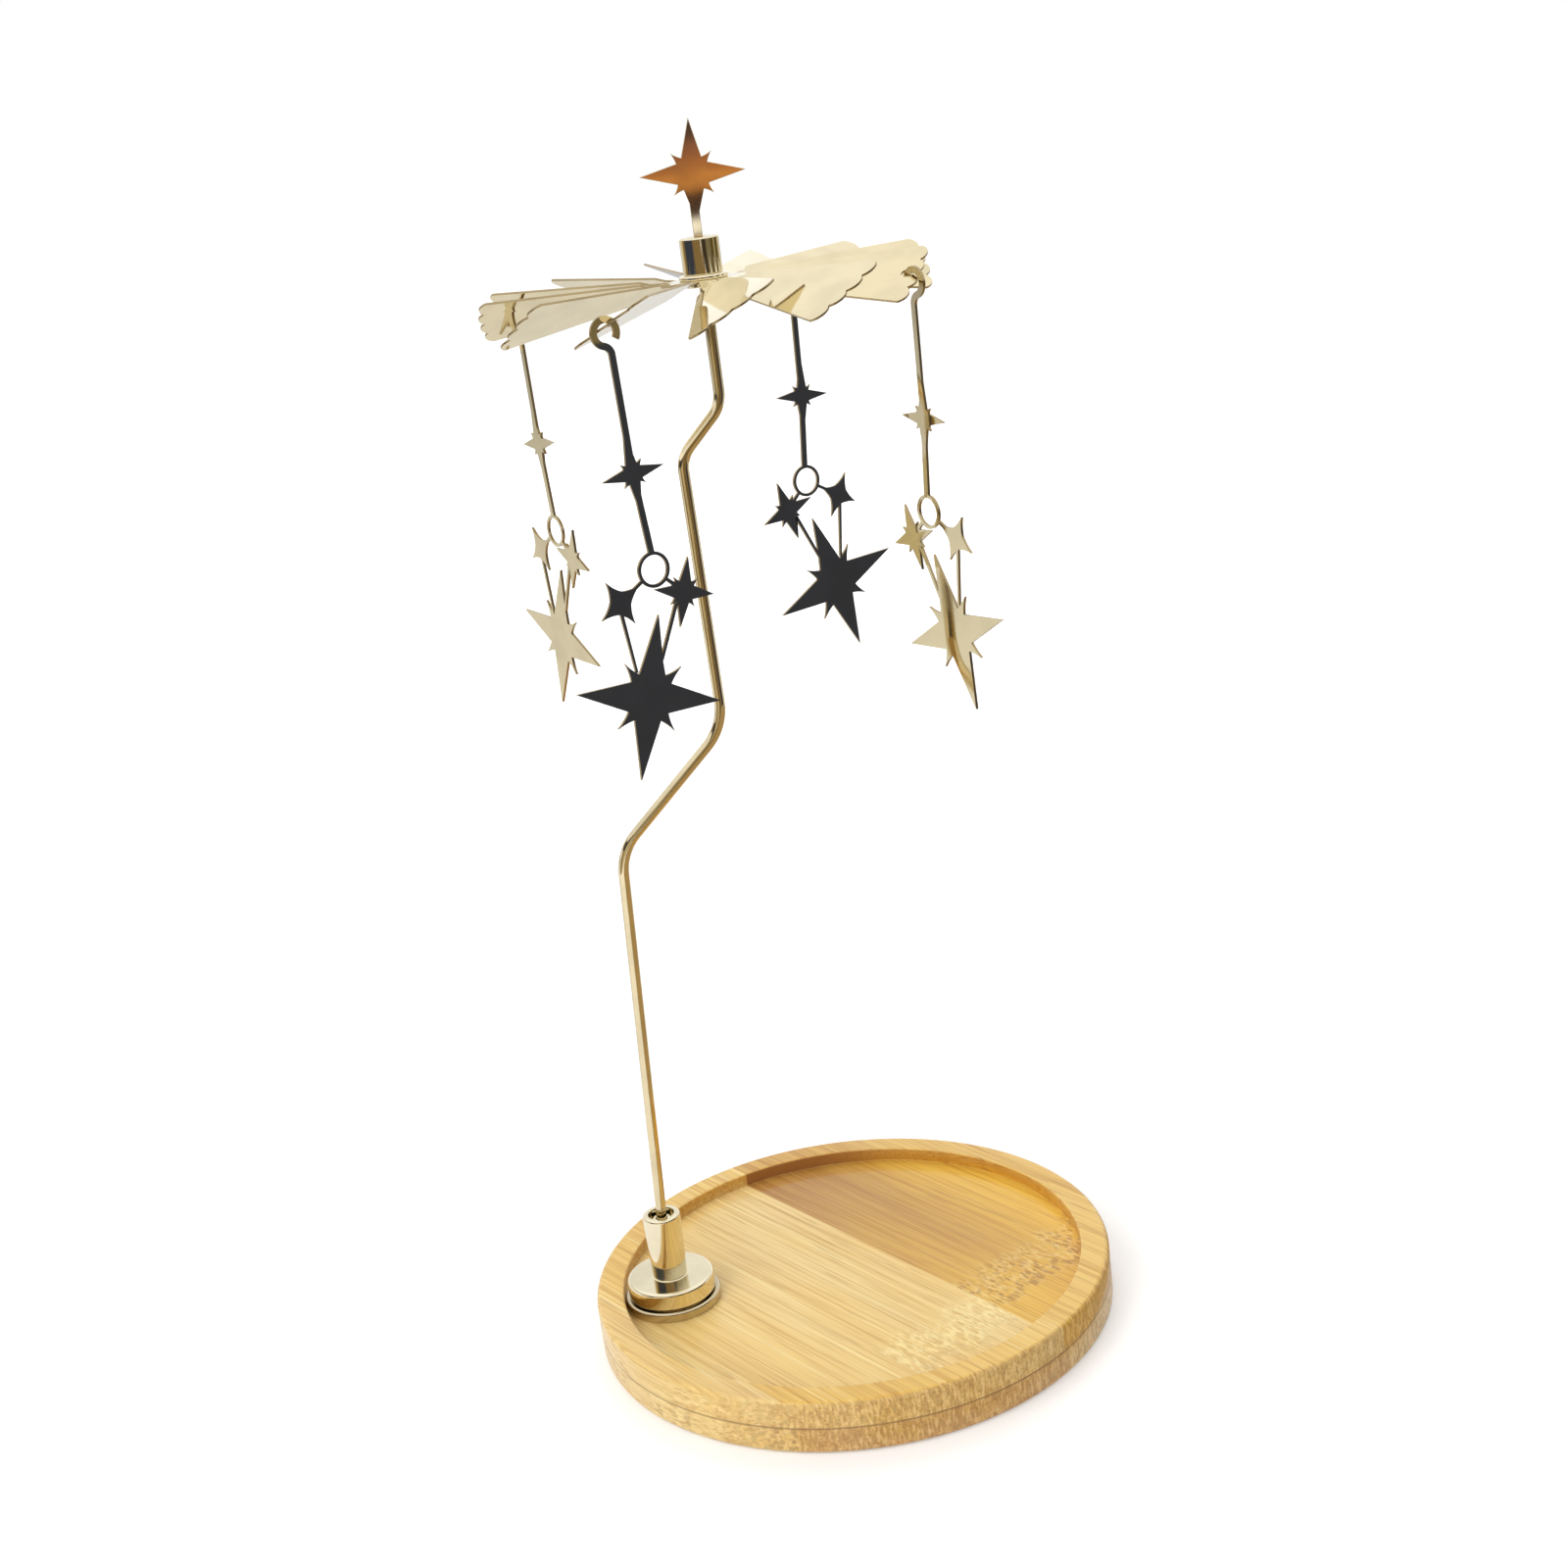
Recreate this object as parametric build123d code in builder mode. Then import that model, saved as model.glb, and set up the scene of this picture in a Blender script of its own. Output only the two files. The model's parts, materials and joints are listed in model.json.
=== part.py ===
# Spinning star carousel for a tea light: a round bamboo tray, a bent wire stem standing in a turned
# foot, and a vaned wheel balanced on the stem's needle point, with a star on top and four hung stars.
# Millimetres, +Z up. The origin is the middle of the tray's underside, and the foot stands towards -X.
import os
from math import atan2, cos, degrees, radians, sin, sqrt

from build123d import *

os.makedirs("parts", exist_ok=True)

# Tray: two round boards glued face to face, with a routed recess for the tea light
tray_diameter = 100.0
board_height = 5.15
tray_edge_round = 1.0
rim_width = 5.4
recess_depth = 2.7
recess_edge_round = 0.4

# Foot: a loose plate, then the turned socket that holds the stem
foot_wall_clearance = 0.1
foot_plate_diameter = 18.6
foot_plate_height = 1.9
foot_plate_round = 0.5
flange_inset = 0.9
groove_depth = 0.8
groove_height = 0.35
flange_height = 3.3
flange_round = 0.7
neck_base_diameter = 6.7
neck_top_diameter = 7.3
neck_height = 13.0
neck_round = 0.6
mouth_wall = 1.15
counterbore_depth = 2.4
stem_seat_depth = 7.0

# Screw from under the tray into the socket
screw_diameter = 4.0
screw_head_diameter = 7.4
screw_head_depth = 0.5
screw_stem_gap = 1.15
screw_hole_clearance = 0.2
screw_thread_clearance = 0.03
screw_slot_width = 0.9
screw_slot_depth = 0.8

# Stem: one wire with two jogs towards the rotor's axis, ground to a needle at the top. A bend is placed by
# how far it stands from the foot or short of the rotor's axis, and by how deep it lies below the wheel.
stem_diameter = 2.0
stem_fit = 0.03
stem_lean = 3.1
lower_jog_start_depth = 99.0
lower_jog_end_depth = 78.4
lower_jog_end_reach = 7.1
lower_jog_radius = 11.0
upper_jog_start_depth = 29.4
upper_jog_start_reach = 7.9
upper_jog_rise = 8.0
upper_jog_radius = 6.0
socket_kink_radius = 40.0
needle_length = 3.4
needle_tip_diameter = 0.16
collar_wall = 0.68
collar_height = 1.5
collar_clearance = 0.12

# Rotor axis and hub
rotor_axis_x = -3.5
wheel_height = 198.6
hub_diameter = 6.8
hub_height = 6.2
hub_round = 0.35
hub_bore_diameter = 3.2
spigot_diameter = 5.0
washer_diameter = 8.4
washer_height = 0.8
retainer_diameter = 6.6
retainer_height = 0.9
press_clearance = 0.02
cup_height = 1.7
cup_top_gap = 2.4
dimple_diameter = 2.2
dimple_depth = 1.2
pivot_gap = 0.15

# Vaned wheel: one etched sheet, a twelve-sided centre and twelve twisted vanes
vane_count = 12
first_vane_angle = -118.0
sheet_thickness = 0.4
centre_apothem = 5.8
neck_width = 2.9
vane_root = 9.8
shoulder_reach = 1.0
shoulder_width = 5.6
shoulder_radius = 0.8
vane_pitch = 27.0
vane_droop = 3.4
vane_tip_radius = 38.75
vane_tip_width = 16.0
scallop_count = 4
scallop_depth = 1.0
hanging_hole_diameter = 2.2
hanging_hole_inset = 2.25
vanes_per_pendant = 3

# Stars: sides that are hollow, not straight, bow in by a share of their length
star_hollow = 0.06

# Star on top of the hub
finial_shift = 0.4
finial_rise = 10.3
finial_reach = 9.0
finial_spike = 4.9
finial_waist = 3.25
finial_waist_turn = 25.0
finial_lean = 2.6
finial_thickness = 0.6
tang_width = 1.5
tang_depth = 1.8
tang_fit = 0.03

# Pendants: flat etched sheets hung through the holes in every third vane. A place on a pendant is given as
# a shift towards the axis and a drop from the hook's middle, and a link's ends from the stars they join.
pendant_thickness = 0.5
pendant_turn = 34.0
hook_reach = 1.58
hook_drop = 1.05
hook_inner_diameter = 3.0
hook_band = 1.15
hook_start_angle = -32.0
hook_sweep = 287.0
hook_return_radius = 1.7
hook_return_sweep = 70.0
bar_width = 1.1
link_width = 0.55
stars_turn = -16.0
waist_turn = 28.5
middle_star_shift = 1.35
middle_star_drop = 22.4
middle_star_reach = 5.8
middle_star_upright_reach = 8.0
middle_star_spike = 2.75
middle_star_waist = 1.85
ring_shift = 2.6
ring_drop = 38.3
ring_diameter = 5.9
ring_band = 0.55
left_star_shift = -4.3
left_star_drop = 42.3
left_star_reach = 4.4
left_star_waist = 1.9
right_star_shift = 7.6
right_star_drop = 43.1
right_star_reach = 5.8
right_star_spike = 3.2
right_star_waist = 2.1
big_star_shift = -1.5
big_star_drop = 58.8
big_star_reach = 13.7
big_star_spike = 7.6
big_star_waist = 4.6
left_link_shift = -0.2
left_link_drop = 1.3
left_link_end_shift = -1.4
left_link_end_rise = 4.8
right_link_shift = -1.7
right_link_drop = 1.5
right_link_end_shift = 3.2
right_link_end_rise = 5.6

# Heights and places that follow
tray_height = 2 * board_height
recess_floor = tray_height - recess_depth
recess_diameter = tray_diameter - 2 * rim_width
foot_x = -(recess_diameter / 2 - foot_wall_clearance - foot_plate_diameter / 2)
foot_axis = Axis((foot_x, 0, 0), (0, 0, 1))
flange_diameter = foot_plate_diameter - 2 * flange_inset
groove_diameter = flange_diameter - 2 * groove_depth
counterbore_diameter = neck_top_diameter - 2 * mouth_wall
socket_bottom = recess_floor + foot_plate_height
flange_bottom = socket_bottom + groove_height
flange_top = flange_bottom + flange_height
neck_top = flange_top + neck_height
collar_seat = neck_top - counterbore_depth
stem_bottom = collar_seat - stem_seat_depth
screw_hole_diameter = screw_diameter + 2 * screw_hole_clearance
screw_top = stem_bottom - screw_stem_gap
collar_diameter = stem_diameter + 2 * (collar_clearance + collar_wall)
sheet_bottom = wheel_height - sheet_thickness / 2
sheet_top = wheel_height + sheet_thickness / 2
hub_bottom = sheet_top + washer_height
hub_top = hub_bottom + hub_height
spigot_bottom = sheet_bottom - retainer_height
cup_top = hub_top - cup_top_gap
cup_bottom = cup_top - cup_height
needle_tip = cup_bottom + dimple_depth - pivot_gap
rotor_axis = Axis((rotor_axis_x, 0, 0), (0, 0, 1))
hanging_hole_radius = vane_tip_radius - hanging_hole_inset


def upright_plane(x, height):
    """A plane facing the front whose local X is the radius from a vertical axis and Y is the height."""
    return Plane(origin=(x, 0, height), x_dir=(1, 0, 0), z_dir=(0, -1, 0))


def level_plane(x, height):
    """A level plane at a height, centred on a vertical axis."""
    return Plane(origin=(x, 0, height))


def polar(radius, angle):
    """A point at a radius and an angle from a star's middle."""
    return (radius * cos(radians(angle)), radius * sin(radians(angle)))


def hollow_side(start, end):
    """A side that bows to the left on its way from start to end."""
    return SagittaArc(start, end, star_hollow * (Vector(*end) - Vector(*start)).length)


def spiked_star(level_reach, upright_reach, waist, waist_at, spike):
    """A star of four straight rays with a hollow-sided spike between each two."""
    reaches = (level_reach, upright_reach)
    with BuildSketch() as star:
        with BuildLine():
            for quarter in range(4):
                ray = 90 * quarter
                first_waist = polar(waist, ray + waist_at)
                second_waist = polar(waist, ray + 90 - waist_at)
                spike_tip = polar(spike, ray + 45)
                Line(polar(reaches[quarter % 2], ray), first_waist)
                hollow_side(first_waist, spike_tip)
                hollow_side(spike_tip, second_waist)
                Line(second_waist, polar(reaches[(quarter + 1) % 2], ray + 90))
        make_face()
    return star.sketch


def plain_star(reach, waist):
    """A star of four hollow-sided rays."""
    with BuildSketch() as star:
        with BuildLine():
            for ray in range(0, 360, 90):
                hollow_side(polar(reach, ray), polar(waist, ray + 45))
                hollow_side(polar(waist, ray + 45), polar(reach, ray + 90))
        make_face()
    return star.sketch


# Lower board of the tray, countersunk underneath for the foot's screw
with BuildPart() as tray_bottom_board:
    with BuildSketch():
        Circle(tray_diameter / 2)
    extrude(amount=board_height)
    fillet(tray_bottom_board.edges().sort_by(Axis.Z)[0], radius=tray_edge_round)
    with Locations(Plane(origin=(foot_x, 0, 0), z_dir=(0, 0, -1))):
        CounterSinkHole(
            screw_hole_diameter / 2,
            screw_head_diameter / 2 + screw_head_depth,
            depth=board_height,
            counter_sink_angle=90,
        )

# Upper board with the recess
with BuildPart() as tray_top_board:
    with BuildSketch(Plane.XY.offset(board_height)):
        Circle(tray_diameter / 2)
    extrude(amount=board_height)
    fillet(tray_top_board.edges().sort_by(Axis.Z)[-1], radius=tray_edge_round)
    with BuildSketch(Plane.XY.offset(tray_height)):
        Circle(recess_diameter / 2)
    extrude(amount=-recess_depth, mode=Mode.SUBTRACT)
    recess_rim = tray_top_board.edges().filter_by(GeomType.CIRCLE).group_by(Axis.Z)[-1].sort_by(SortBy.RADIUS)[0]
    fillet(recess_rim, radius=recess_edge_round)
    with BuildSketch(level_plane(foot_x, recess_floor)):
        Circle(screw_hole_diameter / 2)
    extrude(amount=-(recess_floor - board_height), mode=Mode.SUBTRACT)

# Plate under the foot, tangent to the recess wall
with BuildPart() as foot_plate:
    with BuildSketch(level_plane(foot_x, recess_floor)):
        Circle(foot_plate_diameter / 2)
        Circle(screw_hole_diameter / 2, mode=Mode.SUBTRACT)
    extrude(amount=foot_plate_height)
    plate_rim = foot_plate.edges().group_by(Axis.Z)[-1].sort_by(SortBy.RADIUS)[-1]
    fillet(plate_rim, radius=foot_plate_round)

# Turned socket: groove, flange and a neck that widens a little towards its mouth
with BuildPart() as stem_socket:
    with BuildSketch(upright_plane(foot_x, socket_bottom)):
        with BuildLine():
            Polyline(
                (0, 0),
                (groove_diameter / 2, 0),
                (groove_diameter / 2, groove_height),
                (flange_diameter / 2, groove_height),
                (flange_diameter / 2, groove_height + flange_height),
                (neck_base_diameter / 2, groove_height + flange_height),
                (neck_top_diameter / 2, neck_top - socket_bottom),
                (0, neck_top - socket_bottom),
                close=True,
            )
        make_face()
    revolve(axis=foot_axis)
    socket_edges = stem_socket.edges().filter_by(GeomType.CIRCLE)
    flange_rim = socket_edges.sort_by(SortBy.RADIUS)[-2:].sort_by(Axis.Z)[-1]
    fillet(flange_rim, radius=flange_round)
    with BuildSketch(level_plane(foot_x, neck_top)):
        Circle(counterbore_diameter / 2)
    extrude(amount=-counterbore_depth, mode=Mode.SUBTRACT)
    mouth = stem_socket.edges().filter_by(GeomType.CIRCLE).group_by(Axis.Z)[-1].sort_by(SortBy.RADIUS)[-1]
    fillet(mouth, radius=neck_round)
    with BuildSketch(level_plane(foot_x, collar_seat)):
        Circle(stem_diameter / 2 + stem_fit)
    extrude(amount=-stem_seat_depth, mode=Mode.SUBTRACT)
    with BuildSketch(level_plane(foot_x, socket_bottom)):
        Circle(screw_diameter / 2 + screw_thread_clearance)
    extrude(amount=screw_top - socket_bottom, mode=Mode.SUBTRACT)

# Countersunk screw that pulls the socket, the plate and the tray together
with BuildPart() as foot_screw:
    head_cone = (screw_head_diameter - screw_diameter) / 2
    with BuildSketch(upright_plane(foot_x, screw_head_depth)):
        with BuildLine():
            Polyline(
                (0, 0),
                (screw_head_diameter / 2, 0),
                (screw_diameter / 2, head_cone),
                (screw_diameter / 2, screw_top - screw_head_depth),
                (0, screw_top - screw_head_depth),
                close=True,
            )
        make_face()
    revolve(axis=foot_axis)
    with BuildSketch(level_plane(foot_x, screw_head_depth)):
        Rectangle(screw_head_diameter, screw_slot_width)
    extrude(amount=screw_slot_depth, mode=Mode.SUBTRACT)

# Small collar that centres the stem in the socket's mouth
with BuildPart() as stem_collar:
    with BuildSketch(level_plane(foot_x, collar_seat)):
        Circle(collar_diameter / 2)
        Circle(stem_diameter / 2 + collar_clearance, mode=Mode.SUBTRACT)
    extrude(amount=collar_height)

# Stem wire: up from the socket, over the lower jog, over the upper jog, then up the rotor's axis
lower_jog_start = (foot_x + stem_lean, wheel_height - lower_jog_start_depth)
lower_jog_end = (rotor_axis_x - lower_jog_end_reach, wheel_height - lower_jog_end_depth)
upper_jog_start = (rotor_axis_x - upper_jog_start_reach, wheel_height - upper_jog_start_depth)
upper_jog_end = (rotor_axis_x, upper_jog_start[1] + upper_jog_rise)
needle_start = needle_tip - needle_length
with BuildPart() as stem:
    with BuildLine(Plane.XZ) as stem_line:
        FilletPolyline(
            (foot_x, stem_bottom),
            (foot_x, collar_seat),
            lower_jog_start,
            lower_jog_end,
            upper_jog_start,
            upper_jog_end,
            (rotor_axis_x, needle_start),
            radius=[
                socket_kink_radius,
                lower_jog_radius,
                lower_jog_radius,
                upper_jog_radius,
                upper_jog_radius,
            ],
        )
    with BuildSketch(level_plane(foot_x, stem_bottom)):
        Circle(stem_diameter / 2)
    sweep(path=stem_line.line)
    with BuildSketch(level_plane(rotor_axis_x, needle_start)):
        Circle(stem_diameter / 2)
    with BuildSketch(level_plane(rotor_axis_x, needle_tip)):
        Circle(needle_tip_diameter / 2)
    loft()

# Hub cap with its spigot through the wheel, a blind bore and a slot for the star's tang
with BuildPart() as hub_cap:
    with BuildSketch(level_plane(rotor_axis_x, hub_bottom)):
        Circle(hub_diameter / 2)
    extrude(amount=hub_height)
    fillet(hub_cap.edges().sort_by(Axis.Z)[-1], radius=hub_round)
    with BuildSketch(level_plane(rotor_axis_x, spigot_bottom)):
        Circle(spigot_diameter / 2)
    extrude(amount=hub_bottom - spigot_bottom)
    with BuildSketch(level_plane(rotor_axis_x, spigot_bottom)):
        Circle(hub_bore_diameter / 2)
    extrude(amount=cup_top - spigot_bottom, mode=Mode.SUBTRACT)
    with BuildSketch(level_plane(rotor_axis_x, hub_top)):
        Rectangle(tang_width + 2 * tang_fit, finial_thickness + 2 * tang_fit)
    extrude(amount=-tang_depth, mode=Mode.SUBTRACT)

# Bearing cup pressed into the bore, with the dimple that rides on the needle
with BuildPart() as bearing_cup:
    with BuildSketch(level_plane(rotor_axis_x, cup_bottom)):
        Circle(hub_bore_diameter / 2 - press_clearance)
    extrude(amount=cup_height)
    with BuildSketch(upright_plane(rotor_axis_x, cup_bottom)):
        with BuildLine():
            Polyline((0, 0), (dimple_diameter / 2, 0), (0, dimple_depth), close=True)
        make_face()
    revolve(axis=rotor_axis, mode=Mode.SUBTRACT)

# Washer between the hub and the wheel
with BuildPart() as hub_washer:
    with BuildSketch(level_plane(rotor_axis_x, sheet_top)):
        Circle(washer_diameter / 2)
        Circle(spigot_diameter / 2 + press_clearance, mode=Mode.SUBTRACT)
    extrude(amount=washer_height)

# Retaining ring pressed on the spigot under the wheel
with BuildPart() as retaining_ring:
    with BuildSketch(level_plane(rotor_axis_x, spigot_bottom)):
        Circle(retainer_diameter / 2)
        Circle(spigot_diameter / 2 + press_clearance, mode=Mode.SUBTRACT)
    extrude(amount=retainer_height)

# One vane along +X from the wheel's middle: U runs out along the vane and W across it, high side up
droop, pitch = radians(vane_droop), radians(vane_pitch)
along_vane = Vector(cos(droop), 0, -sin(droop))
flat_normal = Vector(sin(droop), 0, cos(droop))
across_vane = Vector(0, cos(pitch), 0) + flat_normal * sin(pitch)
vane_normal = along_vane.cross(across_vane)
vane_plane = Plane(origin=(0, 0, 0), x_dir=along_vane, z_dir=vane_normal)


def tip_point(radius, across):
    """A point of the vane's tip at a radius from the wheel's middle."""
    return (sqrt(radius**2 - across**2), across)


scallop_width = vane_tip_width / scallop_count
notch_radius = vane_tip_radius - scallop_depth
tip_corner = tip_point(notch_radius, vane_tip_width / 2)
shoulder = (vane_root + shoulder_reach, shoulder_width / 2)
root_corner = (vane_root, neck_width / 2)

with BuildPart() as vane:
    with BuildSketch(vane_plane):
        with BuildLine():
            Line((root_corner[0], -root_corner[1]), root_corner)
            FilletPolyline(root_corner, shoulder, tip_corner, radius=shoulder_radius)
            for scallop in range(scallop_count):
                start = vane_tip_width / 2 - scallop * scallop_width
                ThreePointArc(
                    tip_point(notch_radius, start),
                    tip_point(vane_tip_radius, start - scallop_width / 2),
                    tip_point(notch_radius, start - scallop_width),
                )
            FilletPolyline(
                (tip_corner[0], -tip_corner[1]),
                (shoulder[0], -shoulder[1]),
                (root_corner[0], -root_corner[1]),
                radius=shoulder_radius,
            )
        make_face()
    extrude(amount=sheet_thickness / 2, both=True)
    with BuildSketch(Plane(origin=(centre_apothem, 0, 0), x_dir=(0, 1, 0), z_dir=(1, 0, 0))):
        Rectangle(neck_width, sheet_thickness)
    with BuildSketch(Plane(origin=along_vane * vane_root, x_dir=across_vane, z_dir=along_vane)):
        Rectangle(neck_width, sheet_thickness)
    loft(ruled=True)

# A vane with the hole that a pendant hangs in
with BuildPart() as hanging_vane:
    add(vane.part)
    with BuildSketch(vane_plane):
        with Locations((hanging_hole_radius, 0)):
            Circle(hanging_hole_diameter / 2)
    extrude(amount=sheet_thickness, both=True, mode=Mode.SUBTRACT)

# Wheel: the twelve-sided centre and its vanes, every third one with a hanging hole
vane_step = 360 / vane_count
pendant_count = vane_count // vanes_per_pendant
with BuildPart() as vane_wheel:
    with BuildSketch(level_plane(rotor_axis_x, sheet_bottom)):
        RegularPolygon(centre_apothem, vane_count, major_radius=False, rotation=first_vane_angle + vane_step / 2)
        Circle(spigot_diameter / 2 + press_clearance, mode=Mode.SUBTRACT)
    extrude(amount=sheet_thickness)
    with Locations((rotor_axis_x, 0, wheel_height)):
        with PolarLocations(0, pendant_count, start_angle=first_vane_angle):
            add(hanging_vane.part)
        for vane_number in range(1, vanes_per_pendant):
            with PolarLocations(0, pendant_count, start_angle=first_vane_angle + vane_number * vane_step):
                add(vane.part)

# Star on the hub: an etched sheet on a tang
finial_shape = spiked_star(finial_reach, finial_reach, finial_waist, finial_waist_turn, finial_spike)
with BuildPart() as finial_star:
    with BuildSketch(upright_plane(rotor_axis_x, hub_top)):
        with Locations((finial_shift, finial_rise)):
            add(finial_shape, rotation=-finial_lean)
        with Locations((0, -tang_depth)):
            Rectangle(tang_width, finial_rise - finial_waist + tang_depth, align=(Align.CENTER, Align.MIN))
    extrude(amount=finial_thickness / 2, both=True)


def hanging_plane(vane_angle):
    """The plane of the pendant on the vane at this angle, with its origin at the hook's middle."""
    across_hook = -hook_reach * sin(radians(pendant_turn)) / cos(pitch)
    along_hook = hanging_hole_radius + hook_reach * cos(radians(pendant_turn))
    on_vane = along_vane * along_hook + across_vane * across_hook
    top_of_sheet = on_vane.Z + sheet_thickness / (2 * vane_normal.Z)
    hook_middle = Vector(on_vane.X, on_vane.Y, top_of_sheet - hook_drop).rotate(Axis.Z, vane_angle)
    outward = Vector(1, 0, 0).rotate(Axis.Z, vane_angle - pendant_turn)
    front = Vector(0, 1, 0).rotate(Axis.Z, vane_angle - pendant_turn)
    return Plane(
        origin=hook_middle + Vector(rotor_axis_x, 0, wheel_height),
        x_dir=outward * -1,
        z_dir=front,
    )


# Pendants: hook, bar, middle star, ring, two small stars, two thin links and the big star
ring_radius = ring_diameter / 2
hook_radius = hook_inner_diameter / 2 + hook_band / 2
middle_star = (middle_star_shift, -middle_star_drop)
ring_middle = (ring_shift, -ring_drop)
left_star = (left_star_shift, -left_star_drop)
right_star = (right_star_shift, -right_star_drop)
big_star = (big_star_shift, -big_star_drop)
left_link_start = (left_star[0] + left_link_shift, left_star[1] - left_link_drop)
left_link_end = (big_star[0] + left_link_end_shift, big_star[1] + left_link_end_rise)
right_link_start = (right_star[0] + right_link_shift, right_star[1] - right_link_drop)
right_link_end = (big_star[0] + right_link_end_shift, big_star[1] + right_link_end_rise)
bar_lean = degrees(atan2(ring_shift - middle_star_shift, ring_drop - middle_star_drop))
middle_shape = spiked_star(
    middle_star_reach, middle_star_upright_reach, middle_star_waist, waist_turn, middle_star_spike
)
left_shape = plain_star(left_star_reach, left_star_waist)
right_shape = spiked_star(right_star_reach, right_star_reach, right_star_waist, waist_turn, right_star_spike)
big_shape = spiked_star(big_star_reach, big_star_reach, big_star_waist, waist_turn, big_star_spike)
pendant_names = ("pendant_front", "pendant_right", "pendant_back", "pendant_left")
pendants = []
for number, name in enumerate(pendant_names):
    angle = first_vane_angle + number * vanes_per_pendant * vane_step
    with BuildPart() as pendant:
        with BuildSketch(hanging_plane(angle)):
            with BuildLine() as hook_line:
                hook_arc = CenterArc((0, 0), hook_radius, hook_start_angle, hook_sweep)
                JernArc(hook_arc @ 1, hook_arc % 1, hook_return_radius, -hook_return_sweep)
            trace(line_width=hook_band)
            with BuildLine():
                Line(hook_line.line @ 1, middle_star)
            trace(line_width=bar_width)
            with BuildLine():
                Line(middle_star, (ring_middle[0], ring_middle[1] + ring_radius - ring_band / 2))
            trace(line_width=bar_width)
            with Locations(middle_star):
                add(middle_shape, rotation=bar_lean)
            with BuildLine():
                CenterArc(ring_middle, ring_radius - ring_band / 2, 0, 360)
            trace(line_width=ring_band)
            with Locations(left_star):
                add(left_shape, rotation=45 + stars_turn)
            with Locations(right_star):
                add(right_shape, rotation=stars_turn)
            with Locations(big_star):
                add(big_shape, rotation=stars_turn)
            with BuildLine():
                Line(left_star, ring_middle)
                Line(right_star, ring_middle)
                Line(left_link_start, left_link_end)
                Line(right_link_start, right_link_end)
            trace(line_width=link_width)
            with Locations(ring_middle):
                Circle(ring_radius - ring_band, mode=Mode.SUBTRACT)
        extrude(amount=pendant_thickness / 2, both=True)
    pendants.append((name, pendant))

# Names and files, one for each piece
pieces = [
    ("tray_bottom_board", tray_bottom_board),
    ("tray_top_board", tray_top_board),
    ("foot_plate", foot_plate),
    ("stem_socket", stem_socket),
    ("foot_screw", foot_screw),
    ("stem_collar", stem_collar),
    ("stem", stem),
    ("hub_cap", hub_cap),
    ("bearing_cup", bearing_cup),
    ("hub_washer", hub_washer),
    ("retaining_ring", retaining_ring),
    ("vane_wheel", vane_wheel),
    ("finial_star", finial_star),
]
for name, piece in pieces + pendants:
    piece.part.label = name
    export_step(piece.part, f"parts/{name}.step")
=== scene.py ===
# %% [markdown]
# # A tea light carousel in bamboo and polished gold
# This lesson dresses the carousel for its picture. The object is a round bamboo tray, a bent gold wire
# that stands in a turned foot, and a wheel of twisted vanes that rides on the wire's point and carries
# stars. The construction is loaded as a fixed frame. Everything modelled here is put where that frame
# says.

import json
from collections import namedtuple
from math import atan2, cos, pi, radians, sin, tan

import bmesh
import bpy
from mathutils import Matrix, Vector


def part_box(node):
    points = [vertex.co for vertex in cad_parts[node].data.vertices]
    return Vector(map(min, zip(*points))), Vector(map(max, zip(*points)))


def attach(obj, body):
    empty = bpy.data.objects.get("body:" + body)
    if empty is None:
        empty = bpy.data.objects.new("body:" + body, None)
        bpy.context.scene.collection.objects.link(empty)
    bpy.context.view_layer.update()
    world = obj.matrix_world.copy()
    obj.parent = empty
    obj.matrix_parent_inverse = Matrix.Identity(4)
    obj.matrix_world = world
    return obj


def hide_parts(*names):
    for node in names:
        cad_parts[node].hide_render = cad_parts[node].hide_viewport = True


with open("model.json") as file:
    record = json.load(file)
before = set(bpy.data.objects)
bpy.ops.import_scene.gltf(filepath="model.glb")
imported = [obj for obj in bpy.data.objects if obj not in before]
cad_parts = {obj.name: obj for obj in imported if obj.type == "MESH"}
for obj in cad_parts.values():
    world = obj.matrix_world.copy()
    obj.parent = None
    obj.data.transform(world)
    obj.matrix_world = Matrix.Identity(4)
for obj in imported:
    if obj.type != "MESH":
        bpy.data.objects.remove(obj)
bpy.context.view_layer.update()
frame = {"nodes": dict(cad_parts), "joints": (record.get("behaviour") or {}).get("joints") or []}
MM = 0.001
PER_MM = 1 / MM

# %% [markdown]
# ## Small tools for the bench
# Operators act on whatever is selected, and loading leaves the frame selected. So each step starts by
# selecting one object alone. Points are chosen in code by where they lie, as one would click them by
# hand, and points within two thousandths of a millimetre of each other count as one.

# %% Selecting helpers
TOUCH = 0.002 * MM
FLAT_FACE_WEIGHT = 100


def pick_only(piece):
    """Selects one object alone and makes it the active one."""
    bpy.ops.object.select_all(action="DESELECT")
    piece.select_set(True)
    bpy.context.view_layer.objects.active = piece


def select_edges(piece, wanted):
    """In edit mode, selects the edges whose two ends both pass the test."""
    mesh = bmesh.from_edit_mesh(piece.data)
    for edge in mesh.edges:
        edge.select_set(False)
    for edge in mesh.edges:
        if all(wanted(point.co) for point in edge.verts):
            edge.select_set(True)
    bmesh.update_edit_mesh(piece.data)


def finish_mesh(piece, corner_angle):
    """Shades curved faces smooth with crisp corners above an angle, and keeps wide flat faces flat."""
    bpy.ops.object.mode_set(mode="OBJECT")
    pick_only(piece)
    bpy.ops.object.shade_smooth_by_angle(angle=radians(corner_angle))
    bpy.ops.object.modifier_add(type="WEIGHTED_NORMAL")
    weighted = piece.modifiers[-1]
    weighted.keep_sharp = True
    weighted.weight = FLAT_FACE_WEIGHT
    bpy.ops.object.modifier_apply(modifier=weighted.name)


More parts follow.
